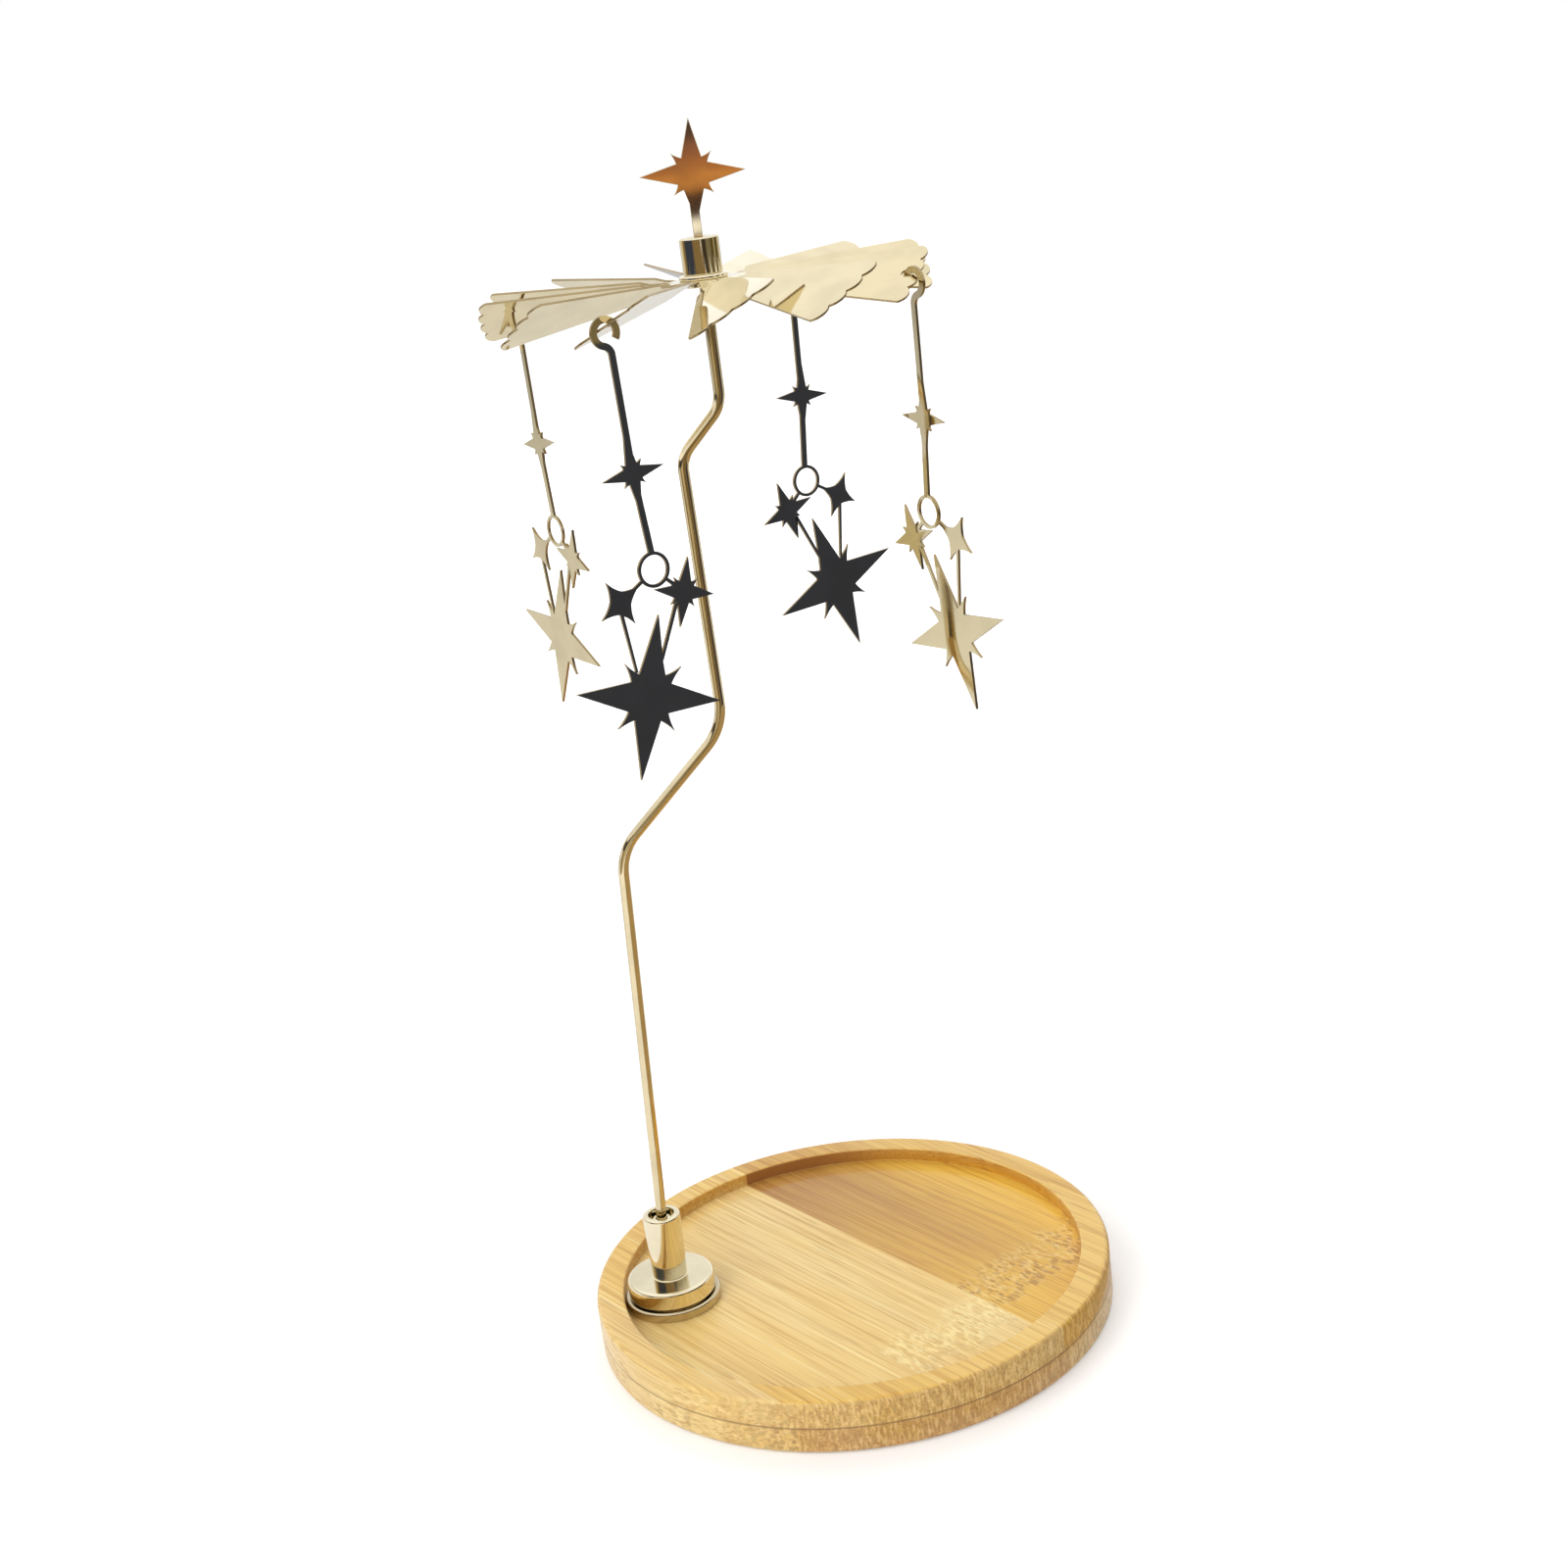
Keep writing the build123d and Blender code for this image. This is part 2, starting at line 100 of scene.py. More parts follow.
def place(piece, body, node, finishes):
    """Rides a piece on its body in the place of its frame node, with its finishes."""
    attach(piece, body)
    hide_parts(node)
    piece.data.materials.clear()
    for finish in finishes:
        piece.data.materials.append(finish)
    print(piece.name, "has", len(piece.data.polygons), "faces and rides on", body)


# %% [markdown]
# ## The camera
# The picture was taken from a little above the wheel, with the camera tipped to one side. One could match
# it by eye, but a small error shows at once in the ellipses of a tray. So its place was solved from the
# round outlines of the tray and from the hanging stars, and the numbers here are real distances from the
# middle of the tray's underside.

# %% Camera
CAMERA_SPOT = Vector((-27.31, -383.58, 227.61)) * MM
CAMERA_YAW = -3.914
CAMERA_DOWN = 17.31
CAMERA_ROLL = -7.402
CAMERA_LENS = 50.795
SENSOR_WIDTH = 36
NEAREST_SEEN = 10 * MM

bpy.ops.object.camera_add()
camera = bpy.context.object
camera.name = "picture_camera"
camera.data.sensor_width = SENSOR_WIDTH
camera.data.lens = CAMERA_LENS
camera.data.clip_start = NEAREST_SEEN
turn_round = Matrix.Rotation(radians(CAMERA_YAW), 4, "Z")
look_down = Matrix.Rotation(radians(90 - CAMERA_DOWN), 4, "X")
tip_over = Matrix.Rotation(radians(CAMERA_ROLL), 4, "Z")
camera.matrix_world = Matrix.Translation(CAMERA_SPOT) @ turn_round @ look_down @ tip_over
bpy.context.scene.camera = camera
bpy.context.scene.view_settings.view_transform = "Standard"
print("camera at", [round(value / MM) for value in CAMERA_SPOT])

# %% [markdown]
# ## Building materials from nodes
# Every finish is a small graph of nodes, so it works at any distance and needs no picture file. Adding
# nodes one by one takes many lines, so a small class keeps the graphs short. It adds a node and fills its
# inputs in one go, and it has a plain word for each step that the finishes need, such as a fade, a mix of
# two colours or soft noise.


# %% Node helpers
class Graph:
    """The node tree of a material or of the world, with short ways to add and join nodes."""

    def __init__(self, owner):
        owner.use_nodes = True
        self.tree = owner.node_tree
        self.material = owner
        self.shader = self.tree.nodes.get("Principled BSDF")

    def add(self, kind, inputs=None, **settings):
        """Adds a node, sets its options, and fills inputs with values or with other nodes' outputs."""
        made = self.tree.nodes.new(kind)
        for key, value in settings.items():
            setattr(made, key, value)
        for key, value in (inputs or {}).items():
            self.fill(made.inputs[key], value)
        return made

    def fill(self, socket, value):
        """Puts a value on a socket, or joins another node's output to it."""
        if isinstance(value, bpy.types.NodeSocket):
            self.tree.links.new(value, socket)
        else:
            socket.default_value = value

    def dress(self, **finish):
        """Fills inputs of the main shader, with underscores for the spaces in their names."""
        for key, value in finish.items():
            self.fill(self.shader.inputs[key.replace("_", " ")], value)

    def math(self, operation, first, second=0.0):
        """One step of arithmetic."""
        return self.add("ShaderNodeMath", {0: first, 1: second}, operation=operation).outputs[0]

    def times(self, first, *others):
        """The product of several values."""
        for other in others:
            first = self.math("MULTIPLY", first, other)
        return first

    def size(self, value):
        """A value without its sign."""
        return self.math("ABSOLUTE", value)

    def rest(self, share):
        """What a share leaves of the whole."""
        return self.math("SUBTRACT", 1.0, share)

    def fade(self, value, start, end, low=0.0, high=1.0):
        """A smooth change from low to high as a value goes from start to end."""
        limits = {"From Min": start, "From Max": end, "To Min": low, "To Max": high}
        made = self.add("ShaderNodeMapRange", {"Value": value, **limits}, interpolation_type="SMOOTHSTEP")
        return made.outputs["Result"]

    def ramp_share(self, value, start, end):
        """How far a value has come on its way from start to end."""
        made = self.add("ShaderNodeMapRange", {"Value": value, "From Min": start, "From Max": end})
        return made.outputs["Result"]

    def mix(self, share, first, second, blend="MIX"):
        """Mixes two colours."""
        made = self.add("ShaderNodeMix", data_type="RGBA", blend_type=blend)
        self.fill(made.inputs["Factor"], share)
        self.fill(made.inputs[6], first)
        self.fill(made.inputs[7], second)
        return made.outputs[2]

    def place_on_piece(self):
        """The coordinates of a spot on its piece."""
        return self.add("ShaderNodeTexCoord").outputs["Object"]

    def split(self, vector):
        """The three parts of a vector."""
        return self.add("ShaderNodeSeparateXYZ", {0: vector}).outputs

    def length(self, vector):
        """The length of a vector."""
        return self.add("ShaderNodeVectorMath", {0: vector}, operation="LENGTH").outputs["Value"]

    def stretched(self, coordinates, stretch):
        """Coordinates stretched by a factor along each axis."""
        return self.add("ShaderNodeMapping", {"Vector": coordinates, "Scale": stretch}).outputs[0]

    def noise(self, coordinates, stretch, detail=2.0):
        """Soft random values between 0 and 1 on stretched coordinates."""
        inputs = {"Vector": self.stretched(coordinates, stretch), "Scale": 1.0, "Detail": detail}
        return self.add("ShaderNodeTexNoise", inputs).outputs["Fac"]

    def cells(self, coordinates, stretch, randomness=1.0):
        """The distance from the nearest of many scattered points."""
        inputs = {"Vector": self.stretched(coordinates, stretch), "Scale": 1.0, "Randomness": randomness}
        return self.add("ShaderNodeTexVoronoi", inputs).outputs["Distance"]

    def blend(self, value, stops, kind="EASE"):
        """A colour that runs through stops of a position and a colour."""
        ramp = self.add("ShaderNodeValToRGB", {"Fac": value})
        ramp.color_ramp.interpolation = kind
        points = ramp.color_ramp.elements
        while len(points) < len(stops):
            points.new(1.0)
        for point, (position, colour) in zip(points, stops):
            point.position = position
            point.color = colour
        return ramp.outputs["Color"]

    def bump(self, height, strength, depth):
        """Raises the surface a little by a height."""
        inputs = {"Height": height, "Strength": strength, "Distance": depth}
        return self.add("ShaderNodeBump", inputs).outputs["Normal"]


def rgb(red, green, blue):
    """A colour with full cover."""
    return (red, green, blue, 1.0)


WHITE = rgb(1, 1, 1)

# %% [markdown]
# ## Bamboo
# A bamboo board is glued from split strips. Each strip has its own tone, fine fibres along its length,
# and here and there a node, where the cane had a ring: a band of dark and pale flecks. Cut across, the
# fibres show as dots. A picture wrapped round the tray would give itself away at the edges. Real fibres
# run right through, so one solid pattern serves every face here: stretched along the grain it draws
# streaks on the top and dots on the ends.

# %% Measures of the tray
board_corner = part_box("tray_bottom_board")[1]
plate_low, plate_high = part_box("foot_plate")
TRAY_RADIUS = board_corner.x / MM
BOARD_TOP = board_corner.z / MM
TRAY_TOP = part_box("tray_top_board")[1].z / MM
RECESS_FLOOR = plate_low.z / MM
FOOT_X = (plate_low.x + plate_high.x) / 2 / MM
print("tray is", round(2 * TRAY_RADIUS, 1), "mm wide and", round(TRAY_TOP, 1), "mm high")

# %% Tones of bamboo
PALE = rgb(0.83, 0.61, 0.245)
HONEY = rgb(0.82, 0.50, 0.06)
CARAMEL = rgb(0.57, 0.305, 0.045)
TAN = rgb(0.70, 0.45, 0.17)
CHESTNUT = rgb(0.36, 0.165, 0.05)
BLUSH = rgb(0.80, 0.565, 0.22)
AMBER_RIM = rgb(0.77, 0.495, 0.115)
GOLDEN_RIM = rgb(0.81, 0.545, 0.15)
BACK_EDGE = -TRAY_RADIUS

# A strip starts at a distance across the tray. It has its tone, the tone of the rim there, how far it
# turns red and golden, where along it its node lies, how pale and how dark the node's flecks are, and how
# coarse its cut ends look. A strip with no node to show has it at the tray's back edge.
Strip = namedtuple("Strip", "start tone rim red golden node pale dark coarse")
TOP_STRIPS = [
    Strip(-50.0, PALE, BLUSH, 0.0, 0.0, BACK_EDGE, 0.0, 0.0, 0.35),
    Strip(-41.0, PALE, AMBER_RIM, 0.05, 0.0, BACK_EDGE, 0.0, 0.0, 0.0),
    Strip(-16.5, PALE, GOLDEN_RIM, 0.05, 0.0, 37.0, 0.55, 0.25, 0.0),
    Strip(8.0, CARAMEL, GOLDEN_RIM, 0.90, 1.0, 31.0, 0.25, 1.0, 0.0),
]
BOTTOM_STRIPS = [
    Strip(-50.0, PALE, PALE, 0.2, 0.0, 10.0, 0.4, 0.6, 0.9),
    Strip(-39.5, TAN, TAN, 0.3, 0.0, -24.0, 0.2, 0.8, 0.0),
    Strip(-12.0, TAN, TAN, 0.3, 0.0, 22.0, 0.3, 0.8, 0.0),
    Strip(9.0, PALE, PALE, 0.0, 0.0, BACK_EDGE, 0.4, 0.6, 0.0),
    Strip(36.0, TAN, TAN, 0.2, 0.0, 14.0, 0.2, 0.8, 0.3),
]
print("strips in the boards:", len(TOP_STRIPS), "and", len(BOTTOM_STRIPS))

# %% Grain of a board
GRAIN_TURN = 57.0
OUTER_WALL = (47.0, 48.5)

# A pattern of soft noise or of scattered dots has its stretch along, across and up the grain, its detail
# or how freely the dots are scattered, the value where it starts to show, the one where it is full, and
# its strength there.
Pattern = namedtuple("Pattern", "stretch detail start full strength")
Dots = namedtuple("Dots", "stretch scatter start full strength")


def tray_share(millimetres):
    """Where a distance from the tray's middle falls on a ramp from one side of the tray to the other."""
    return (millimetres + TRAY_RADIUS) / (2 * TRAY_RADIUS)


class Board(Graph):
    """The graph of one bamboo board, which knows where a spot lies in the grain and in which strip."""

    def __init__(self, name, strips):
        super().__init__(bpy.data.materials.new(name))
        self.strips = strips
        spot = self.add("ShaderNodeTexCoord").outputs
        grain_turn = (0, 0, radians(GRAIN_TURN))
        turned = {"Vector": spot["Object"], "Rotation": grain_turn, "Scale": (PER_MM,) * 3}
        self.grain = self.add("ShaderNodeMapping", turned).outputs[0]
        self.along, self.side, self.height = self.split(self.grain)
        self.reach = self.length(self.stretched(spot["Object"], (PER_MM, PER_MM, 0)))
        self.on_ramp = self.ramp_share(self.side, -TRAY_RADIUS, TRAY_RADIUS)
        facing = {"Vector": spot["Normal"], "Rotation": grain_turn}
        facing = self.add("ShaderNodeMapping", facing, vector_type="NORMAL").outputs[0]
        self.faces_along, _, self.faces_up = self.split(facing)
        self.outer = self.fade(self.reach, *OUTER_WALL)

    def tones(self, pick):
        """A colour that jumps from one glued strip to the next."""
        stops = [(tray_share(strip.start), pick(strip)) for strip in self.strips]
        return self.blend(self.on_ramp, stops, "CONSTANT")

    def by_strip(self, pick):
        """A value that jumps from strip to strip."""
        return self.tones(lambda strip: rgb(pick(strip), pick(strip), pick(strip)))

    def pattern(self, kind):
        """How strongly a pattern of soft noise shows."""
        noise = self.noise(self.grain, kind.stretch, kind.detail)
        return self.fade(noise, kind.start, kind.full, 0.0, kind.strength)

    def dots(self, kind):
        """How strongly a pattern of scattered dots shows."""
        distance = self.cells(self.grain, kind.stretch, kind.scatter)
        return self.fade(distance, kind.start, kind.full, 0.0, kind.strength)


# %% [markdown]
# ### Tone by tone
# Paint is laid on in thin layers, and so is this: each of the next cells takes the colour so far and lays
# one thing more on it. A layer fades in smoothly. Its fade is written as the value where it starts and
# the value where it is full, with what it gives at those two if that isn't 0 and 1.

# %% Layer 1: the strips' own tones
ABOVE_FLOOR = 0.6
BELOW_RIM = 0.8
RIM_HEIGHT = (RECESS_FLOOR + ABOVE_FLOOR, TRAY_TOP - BELOW_RIM)
RIM_EDGE = (49.9, 49.4)
FAR_ACROSS = (20.0, 40.0)
FAR_ALONG = (4.0, 38.0, 0.0, 0.8)
HEART_ALONG = (14.0, -46.0)
RED_IN_GOLD = (0.0, 1.0, 1.0, 0.35)
RED_ON_RIM = 0.9
DRIFT = (0.022, 0.10, 0.10)
RED_DRIFT = (0.2, 0.65)
HONEY_DRIFT = (0.35, 0.75, 0.0, 0.30)


def rim_share(board):
    """How far a spot lies up on the rim, and not in the recess or on the wall."""
    return board.times(board.fade(board.height, *RIM_HEIGHT), board.fade(board.reach, *RIM_EDGE))


def golden_share(board):
    """How golden a spot is, on the far side of the strips that turn golden."""
    far_across = board.fade(board.side, *FAR_ACROSS)
    far_side = board.math("MAXIMUM", far_across, board.fade(board.along, *FAR_ALONG))
    return board.times(board.by_strip(lambda strip: strip.golden), far_side)


def red_share(board, golden):
    """How red a spot is, towards the heart of the cane."""
    heart = board.fade(board.along, *HEART_ALONG)
    return board.times(board.by_strip(lambda strip: strip.red), heart, board.fade(golden, *RED_IN_GOLD))


def strip_tones(board, rim, golden, redden):
    """The tones of the strips and of the rim over them, with a slow drift."""
    drift = board.noise(board.grain, DRIFT)
    colour = board.mix(golden, board.tones(lambda strip: strip.tone), HONEY)
    colour = board.mix(board.times(redden, board.fade(drift, *RED_DRIFT)), colour, CHESTNUT)
    rim_tone = board.mix(board.times(redden, RED_ON_RIM), board.tones(lambda strip: strip.rim), CARAMEL)
    colour = board.mix(rim, colour, rim_tone)
    return board.mix(board.fade(drift, *HONEY_DRIFT), colour, HONEY)


# %% Layer 2: fibres
STREAK = rgb(0.70, 0.52, 0.33)
FLECK = rgb(0.35, 0.15, 0.015)
CREAM = rgb(0.96, 0.82, 0.39)
BANDS = Pattern((0.016, 0.70, 0.70), 2.0, 0.46, 0.70, 0.42)
FIBRES = Pattern((0.035, 2.2, 2.2), 2.0, 0.46, 0.70, 0.55)
DASHES = Pattern((0.07, 2.4, 2.4), 1.0, 0.62, 0.72, 0.40)
PALE_LINES = Pattern((0.025, 1.5, 1.5), 2.0, 0.54, 0.72, 0.45)


def lay_fibres(board, colour, fibres):
    """Broad soft bands, fine streaks, a few short dashes, and pale lines where a strip isn't red."""
    colour = board.mix(board.pattern(BANDS), colour, STREAK, "MULTIPLY")
    streaks = board.fade(fibres, FIBRES.start, FIBRES.full, 0.0, FIBRES.strength)
    colour = board.mix(streaks, colour, STREAK, "MULTIPLY")
    colour = board.mix(board.pattern(DASHES), colour, FLECK)
    paleness = board.rest(board.by_strip(lambda strip: strip.red))
    return board.mix(board.times(paleness, board.pattern(PALE_LINES)), colour, CREAM)


# %% Layer 3: nodes of the cane
WANDER = (0.0, 0.13, 0.0)
WANDER_REACH = (0.2, 0.8, -3.0, 3.0)
BAND_SHIFT = 5.0
BAND_WIDTH = (8.5, 3.5)
ROW_WIDTH = (1.5, 0.7)
PATCHES = Pattern((0.25, 0.30, 0.30), 2.0, 0.34, 0.60, 1.0)
BLOTCHES = Pattern((0.45, 1.2, 1.2), 2.0, 0.46, 0.58, 1.0)
ROW_DASHES = Pattern((0.15, 1.7, 1.7), 2.0, 0.46, 0.56, 1.0)
SHORT_FLECKS = Dots((0.50, 1.35, 1.35), 1.0, 0.52, 0.32, 1.0)
DARK_FLECKS = 0.70


def from_node(board):
    """How far along the grain a spot lies from its strip's node, which wanders a little."""
    node_share = board.by_strip(lambda strip: tray_share(strip.node))
    node_at = board.math("MULTIPLY_ADD", node_share, 2 * TRAY_RADIUS)
    node_at.node.inputs[2].default_value = -TRAY_RADIUS
    wander = board.fade(board.noise(board.grain, WANDER), *WANDER_REACH)
    return board.math("SUBTRACT", board.math("SUBTRACT", board.along, node_at), wander)


def cane_nodes(board, colour, rim):
    """A row of dark dashes across the strip, and a band of flecks on one side of it."""
    inside = board.rest(rim)
    along = from_node(board)
    band = board.fade(board.size(board.math("ADD", along, BAND_SHIFT)), *BAND_WIDTH)
    band = board.times(band, inside)
    flecks = board.times(band, board.pattern(PATCHES), board.dots(SHORT_FLECKS))
    row = board.times(board.fade(board.size(along), *ROW_WIDTH), inside, board.pattern(ROW_DASHES))
    darkness = board.times(board.by_strip(lambda strip: strip.dark), DARK_FLECKS)
    pale_flecks = board.times(band, board.pattern(BLOTCHES), board.by_strip(lambda strip: strip.pale))
    colour = board.mix(pale_flecks, colour, CREAM)
    return board.mix(board.times(board.math("MAXIMUM", flecks, row), darkness), colour, FLECK)


# %% Layer 4: painted shade on the wall of the recess
# This tone is painted shade that darkens the wall of the recess all round.
RECESS_SHADE = rgb(0.84, 0.71, 0.52)
UPRIGHT = (0.8, 0.4)


def shade_recess_wall(board, colour, redden):
    """Painted shade: a deeper, redder tone all round the wall of the recess, where shade falls."""
    upright = board.fade(board.size(board.faces_up), *UPRIGHT)
    routed = board.times(upright, board.rest(board.outer))
    colour = board.mix(board.times(routed, redden), colour, CHESTNUT)
    return board.mix(routed, colour, RECESS_SHADE, "MULTIPLY")


# %% Layer 5: cut ends of the fibres
END_SHADE = rgb(0.88, 0.79, 0.66)
PORE = rgb(0.34, 0.18, 0.06)
PITH = rgb(0.84, 0.62, 0.31)
END_FACING = (0.25, 0.75)
END_SHADING = 0.80
ROWS = Pattern((0.03, 2.3, 0.55), 1.0, 0.42, 0.62, 0.40)
PITH_ROWS = (0.46, 0.32, 0.0, 0.40)
PORES = Dots((0.05, 1.9, 1.1), 0.7, 0.45, 0.20, 0.20)
BLOTCHED_PORES = Dots((0.05, 1.25, 0.85), 1.0, 0.52, 0.36, 0.80)


def cut_ends(board, colour):
    """Wavy upright rows on most strips, dark blotches on a few. Gives the colour and the pores."""
    ends = board.times(board.fade(board.size(board.faces_along), *END_FACING), board.outer)
    colour = board.mix(board.times(ends, END_SHADING), colour, END_SHADE, "MULTIPLY")
    rows = board.noise(board.grain, ROWS.stretch, ROWS.detail)
    fine = board.math("ADD", board.fade(rows, ROWS.start, ROWS.full, 0.0, ROWS.strength), board.dots(PORES))
    coarseness = board.by_strip(lambda strip: strip.coarse)
    either = {"Factor": coarseness, "A": fine, "B": board.dots(BLOTCHED_PORES)}
    pores = board.times(ends, board.add("ShaderNodeMix", either).outputs[0])
    pith = board.times(ends, board.fade(rows, *PITH_ROWS))
    colour = board.mix(pith, colour, PITH)
    return board.mix(pores, colour, PORE), pores


# %% Layer 6: glue line and lacquer
GLUE = rgb(0.22, 0.11, 0.04)
GLUE_WIDTH = (0.30, 0.08)
GLUE_STRENGTH = 0.55
SATIN = (0.2, 0.8, 0.36, 0.52)
FIBRE_RELIEF = 0.22
FIBRE_DEPTH = 0.05 * MM
LACQUER = 0.42
LACQUER_ROUGHNESS = 0.08


def glue_line(board, colour):
    """A dark line where the two boards meet."""
    from_seam = board.size(board.math("SUBTRACT", board.height, BOARD_TOP))
    return board.mix(board.times(board.fade(from_seam, *GLUE_WIDTH), GLUE_STRENGTH), colour, GLUE)


def bamboo(name, strips):
    """A board of glued strips, seen along the grain on its top and end on round its wall."""
    board = Board(name, strips)
    rim = rim_share(board)
    golden = golden_share(board)
    redden = red_share(board, golden)
    fibres = board.noise(board.grain, FIBRES.stretch, FIBRES.detail)
    colour = strip_tones(board, rim, golden, redden)
    colour = lay_fibres(board, colour, fibres)
    colour = cane_nodes(board, colour, rim)
    # Painted shade on the wall of the recess.
    colour = shade_recess_wall(board, colour, redden)
    colour, pores = cut_ends(board, colour)
    relief = board.bump(board.math("SUBTRACT", fibres, pores), FIBRE_RELIEF, FIBRE_DEPTH)
    board.dress(Base_Color=glue_line(board, colour), Roughness=board.fade(fibres, *SATIN), Normal=relief)
    board.dress(Coat_Weight=LACQUER, Coat_Roughness=LACQUER_ROUGHNESS)
    return board.material


bamboo_top = bamboo("bamboo_top", TOP_STRIPS)
bamboo_bottom = bamboo("bamboo_bottom", BOTTOM_STRIPS)
print("bamboo with", len(bamboo_top.node_tree.nodes), "nodes")

# %% [markdown]
# ## Polished gold plate
# The metal is a pale champagne gold, polished until it mirrors the room. A perfect mirror looks drawn by
# a computer, so the sheet gets a faint waviness, the wire gets fine drawing lines along it, and the
# turned pieces get faint rings from the lathe. The polish also varies a little, as where fingers have
# touched it. One function makes all the metals, because they differ only in tint and polish and in how
# their lines and waves lie.

# %% Gold plate
DEEPER = 0.88
FINGER_MARKS = (0.13, 0.13, 0.13)
FINGER_DETAIL = 3.0
DEEPER_TOUCH = (0.35, 0.75)
DULL_TOUCH = (0.4, 0.8)
LINE_DETAIL = 2.0
LINE_DEPTH = 0.02 * MM
WAVES = (0.16, 0.16, 0.10)
WAVE_DETAIL = 1.0
WAVE_DEPTH = 0.5 * MM
FAINT_WAVES = 0.02


def gold(name, tint, polish, line_stretch, line_strength, wave_strength=FAINT_WAVES):
    """A metal with its tint, its best and worst polish, and how its fine lines and soft waves lie."""
    graph = Graph(bpy.data.materials.new(name))
    spot = graph.stretched(graph.place_on_piece(), (PER_MM,) * 3)
    touch = graph.noise(spot, FINGER_MARKS, FINGER_DETAIL)
    deeper = [value * DEEPER for value in tint]
    colour = graph.mix(graph.fade(touch, *DEEPER_TOUCH), rgb(*tint), rgb(*deeper))
    wavy = graph.bump(graph.noise(spot, WAVES, WAVE_DETAIL), wave_strength, WAVE_DEPTH)
    lined = graph.bump(graph.noise(spot, line_stretch, LINE_DETAIL), line_strength, LINE_DEPTH)
    graph.fill(lined.node.inputs["Normal"], wavy)
    graph.dress(Base_Color=colour, Roughness=graph.fade(touch, *DULL_TOUCH, *polish), Normal=lined)
    graph.dress(Metallic=1.0)
    return graph.material


# %% Metals of the carousel
SHEET_GOLD = (0.75, 0.65, 0.42)
WIRE_GOLD = (0.74, 0.63, 0.41)
TURNED_GOLD = (0.82, 0.74, 0.54)
# The plate's tint is a darker copy of the turned gold: painted shade for the plate, which lies low in the
# recess under the flange.
SHADED_PLATE_GOLD = (0.58, 0.50, 0.35)
ETCHED_GOLD = (0.40, 0.31, 0.17)
BRASS = (0.66, 0.46, 0.19)
STEEL = (0.62, 0.62, 0.63)
FAINT_LINES = (0.8, 0.8, 0.8)
DRAWN_LINES = (6.0, 6.0, 0.15)
LATHE_RINGS = (0.3, 0.3, 7.0)
ETCHED_GRAIN = (3.0, 3.0, 3.0)
CUP_RINGS = (0.3, 0.3, 6.0)
SCREW_RINGS = (0.4, 0.4, 5.0)

gold_sheet = gold("gold_sheet", SHEET_GOLD, (0.03, 0.07), FAINT_LINES, 0.01)
gold_wire = gold("gold_wire", WIRE_GOLD, (0.10, 0.18), DRAWN_LINES, 0.25)
gold_turned = gold("gold_turned", TURNED_GOLD, (0.07, 0.13), LATHE_RINGS, 0.10)
shaded_plate_gold = gold("shaded_plate_gold", SHADED_PLATE_GOLD, (0.10, 0.18), LATHE_RINGS, 0.10)
gold_edge = gold("gold_edge", ETCHED_GOLD, (0.28, 0.42), ETCHED_GRAIN, 0.30, wave_strength=0.05)
cup_brass = gold("cup_brass", BRASS, (0.22, 0.34), CUP_RINGS, 0.20)
screw_steel = gold("screw_steel", STEEL, (0.24, 0.38), SCREW_RINGS, 0.20)
metals = (gold_sheet, gold_wire, gold_turned, shaded_plate_gold, gold_edge, cup_brass, screw_steel)
print("metals:", [metal.name for metal in metals])

# %% [markdown]
# ## Turning round pieces
# The tray, the foot and the hub are all round. Stacked cylinders would leave faces hidden inside, so each
# is turned as on a lathe: half of its outline is drawn as a chain of edges, each one extruded from the
# last, and spun once round the axis. Then every ring that is rounded on the real piece is selected and
# bevelled with its own width.

# %% Lathe helpers
TURNED_CORNER = 32
ROUNDING_STEPS = 5


def draw_chain(name, points):
    """Draws a chain of edges through points, and leaves it selected in edit mode."""
    bpy.ops.object.select_all(action="DESELECT")
    bpy.ops.mesh.primitive_plane_add(size=MM)
    piece = bpy.context.object
    piece.name = name
    bpy.ops.object.mode_set(mode="EDIT")
    bpy.ops.mesh.select_all(action="SELECT")
    bpy.ops.mesh.merge(type="CENTER")
    bpy.ops.transform.translate(value=points[0])
    for last, following in zip(points, points[1:]):
        bpy.ops.mesh.extrude_region_move(TRANSFORM_OT_translate={"value": following - last})
    bpy.ops.mesh.select_all(action="SELECT")
    return piece


def turn(name, axis_x, outline, steps):
    """Spins an outline round an upright axis. A point is (radius, height, rounding), in millimetres."""
    points = [Vector((axis_x + radius, 0, height)) * MM for radius, height, _ in outline]
    piece = draw_chain(name, points)
    bpy.ops.mesh.spin(steps=steps, angle=2 * pi, center=(axis_x * MM, 0, 0), axis=(0, 0, 1))
    bpy.ops.mesh.select_all(action="SELECT")
    bpy.ops.mesh.remove_doubles(threshold=TOUCH)
    bpy.ops.mesh.normals_make_consistent(inside=False)
    for radius, height, rounding in outline:
        if rounding > 0:
            round_ring(piece, axis_x, radius, height, rounding)
    finish_mesh(piece, TURNED_CORNER)
    return piece


def round_ring(piece, axis_x, radius, height, rounding):
    """Bevels the ring of edges at a radius and a height."""

    def on_ring(point):
        reach = Vector((point.x - axis_x * MM, point.y)).length
        return abs(reach - radius * MM) < TOUCH and abs(point.z - height * MM) < TOUCH

    select_edges(piece, on_ring)
    bpy.ops.mesh.bevel(
        offset=rounding * MM,
        offset_type="OFFSET",
        segments=ROUNDING_STEPS,
        profile=0.5,
        affect="EDGES",
    )


def cut_away(piece, cutter):
    """Cuts the shape of a cutter out of a piece."""
    pick_only(piece)
    bpy.ops.object.modifier_add(type="BOOLEAN")
    boolean = piece.modifiers[-1]
    boolean.object = cutter
    boolean.operation = "DIFFERENCE"
    bpy.ops.object.modifier_apply(modifier=boolean.name)
    finish_mesh(piece, TURNED_CORNER)


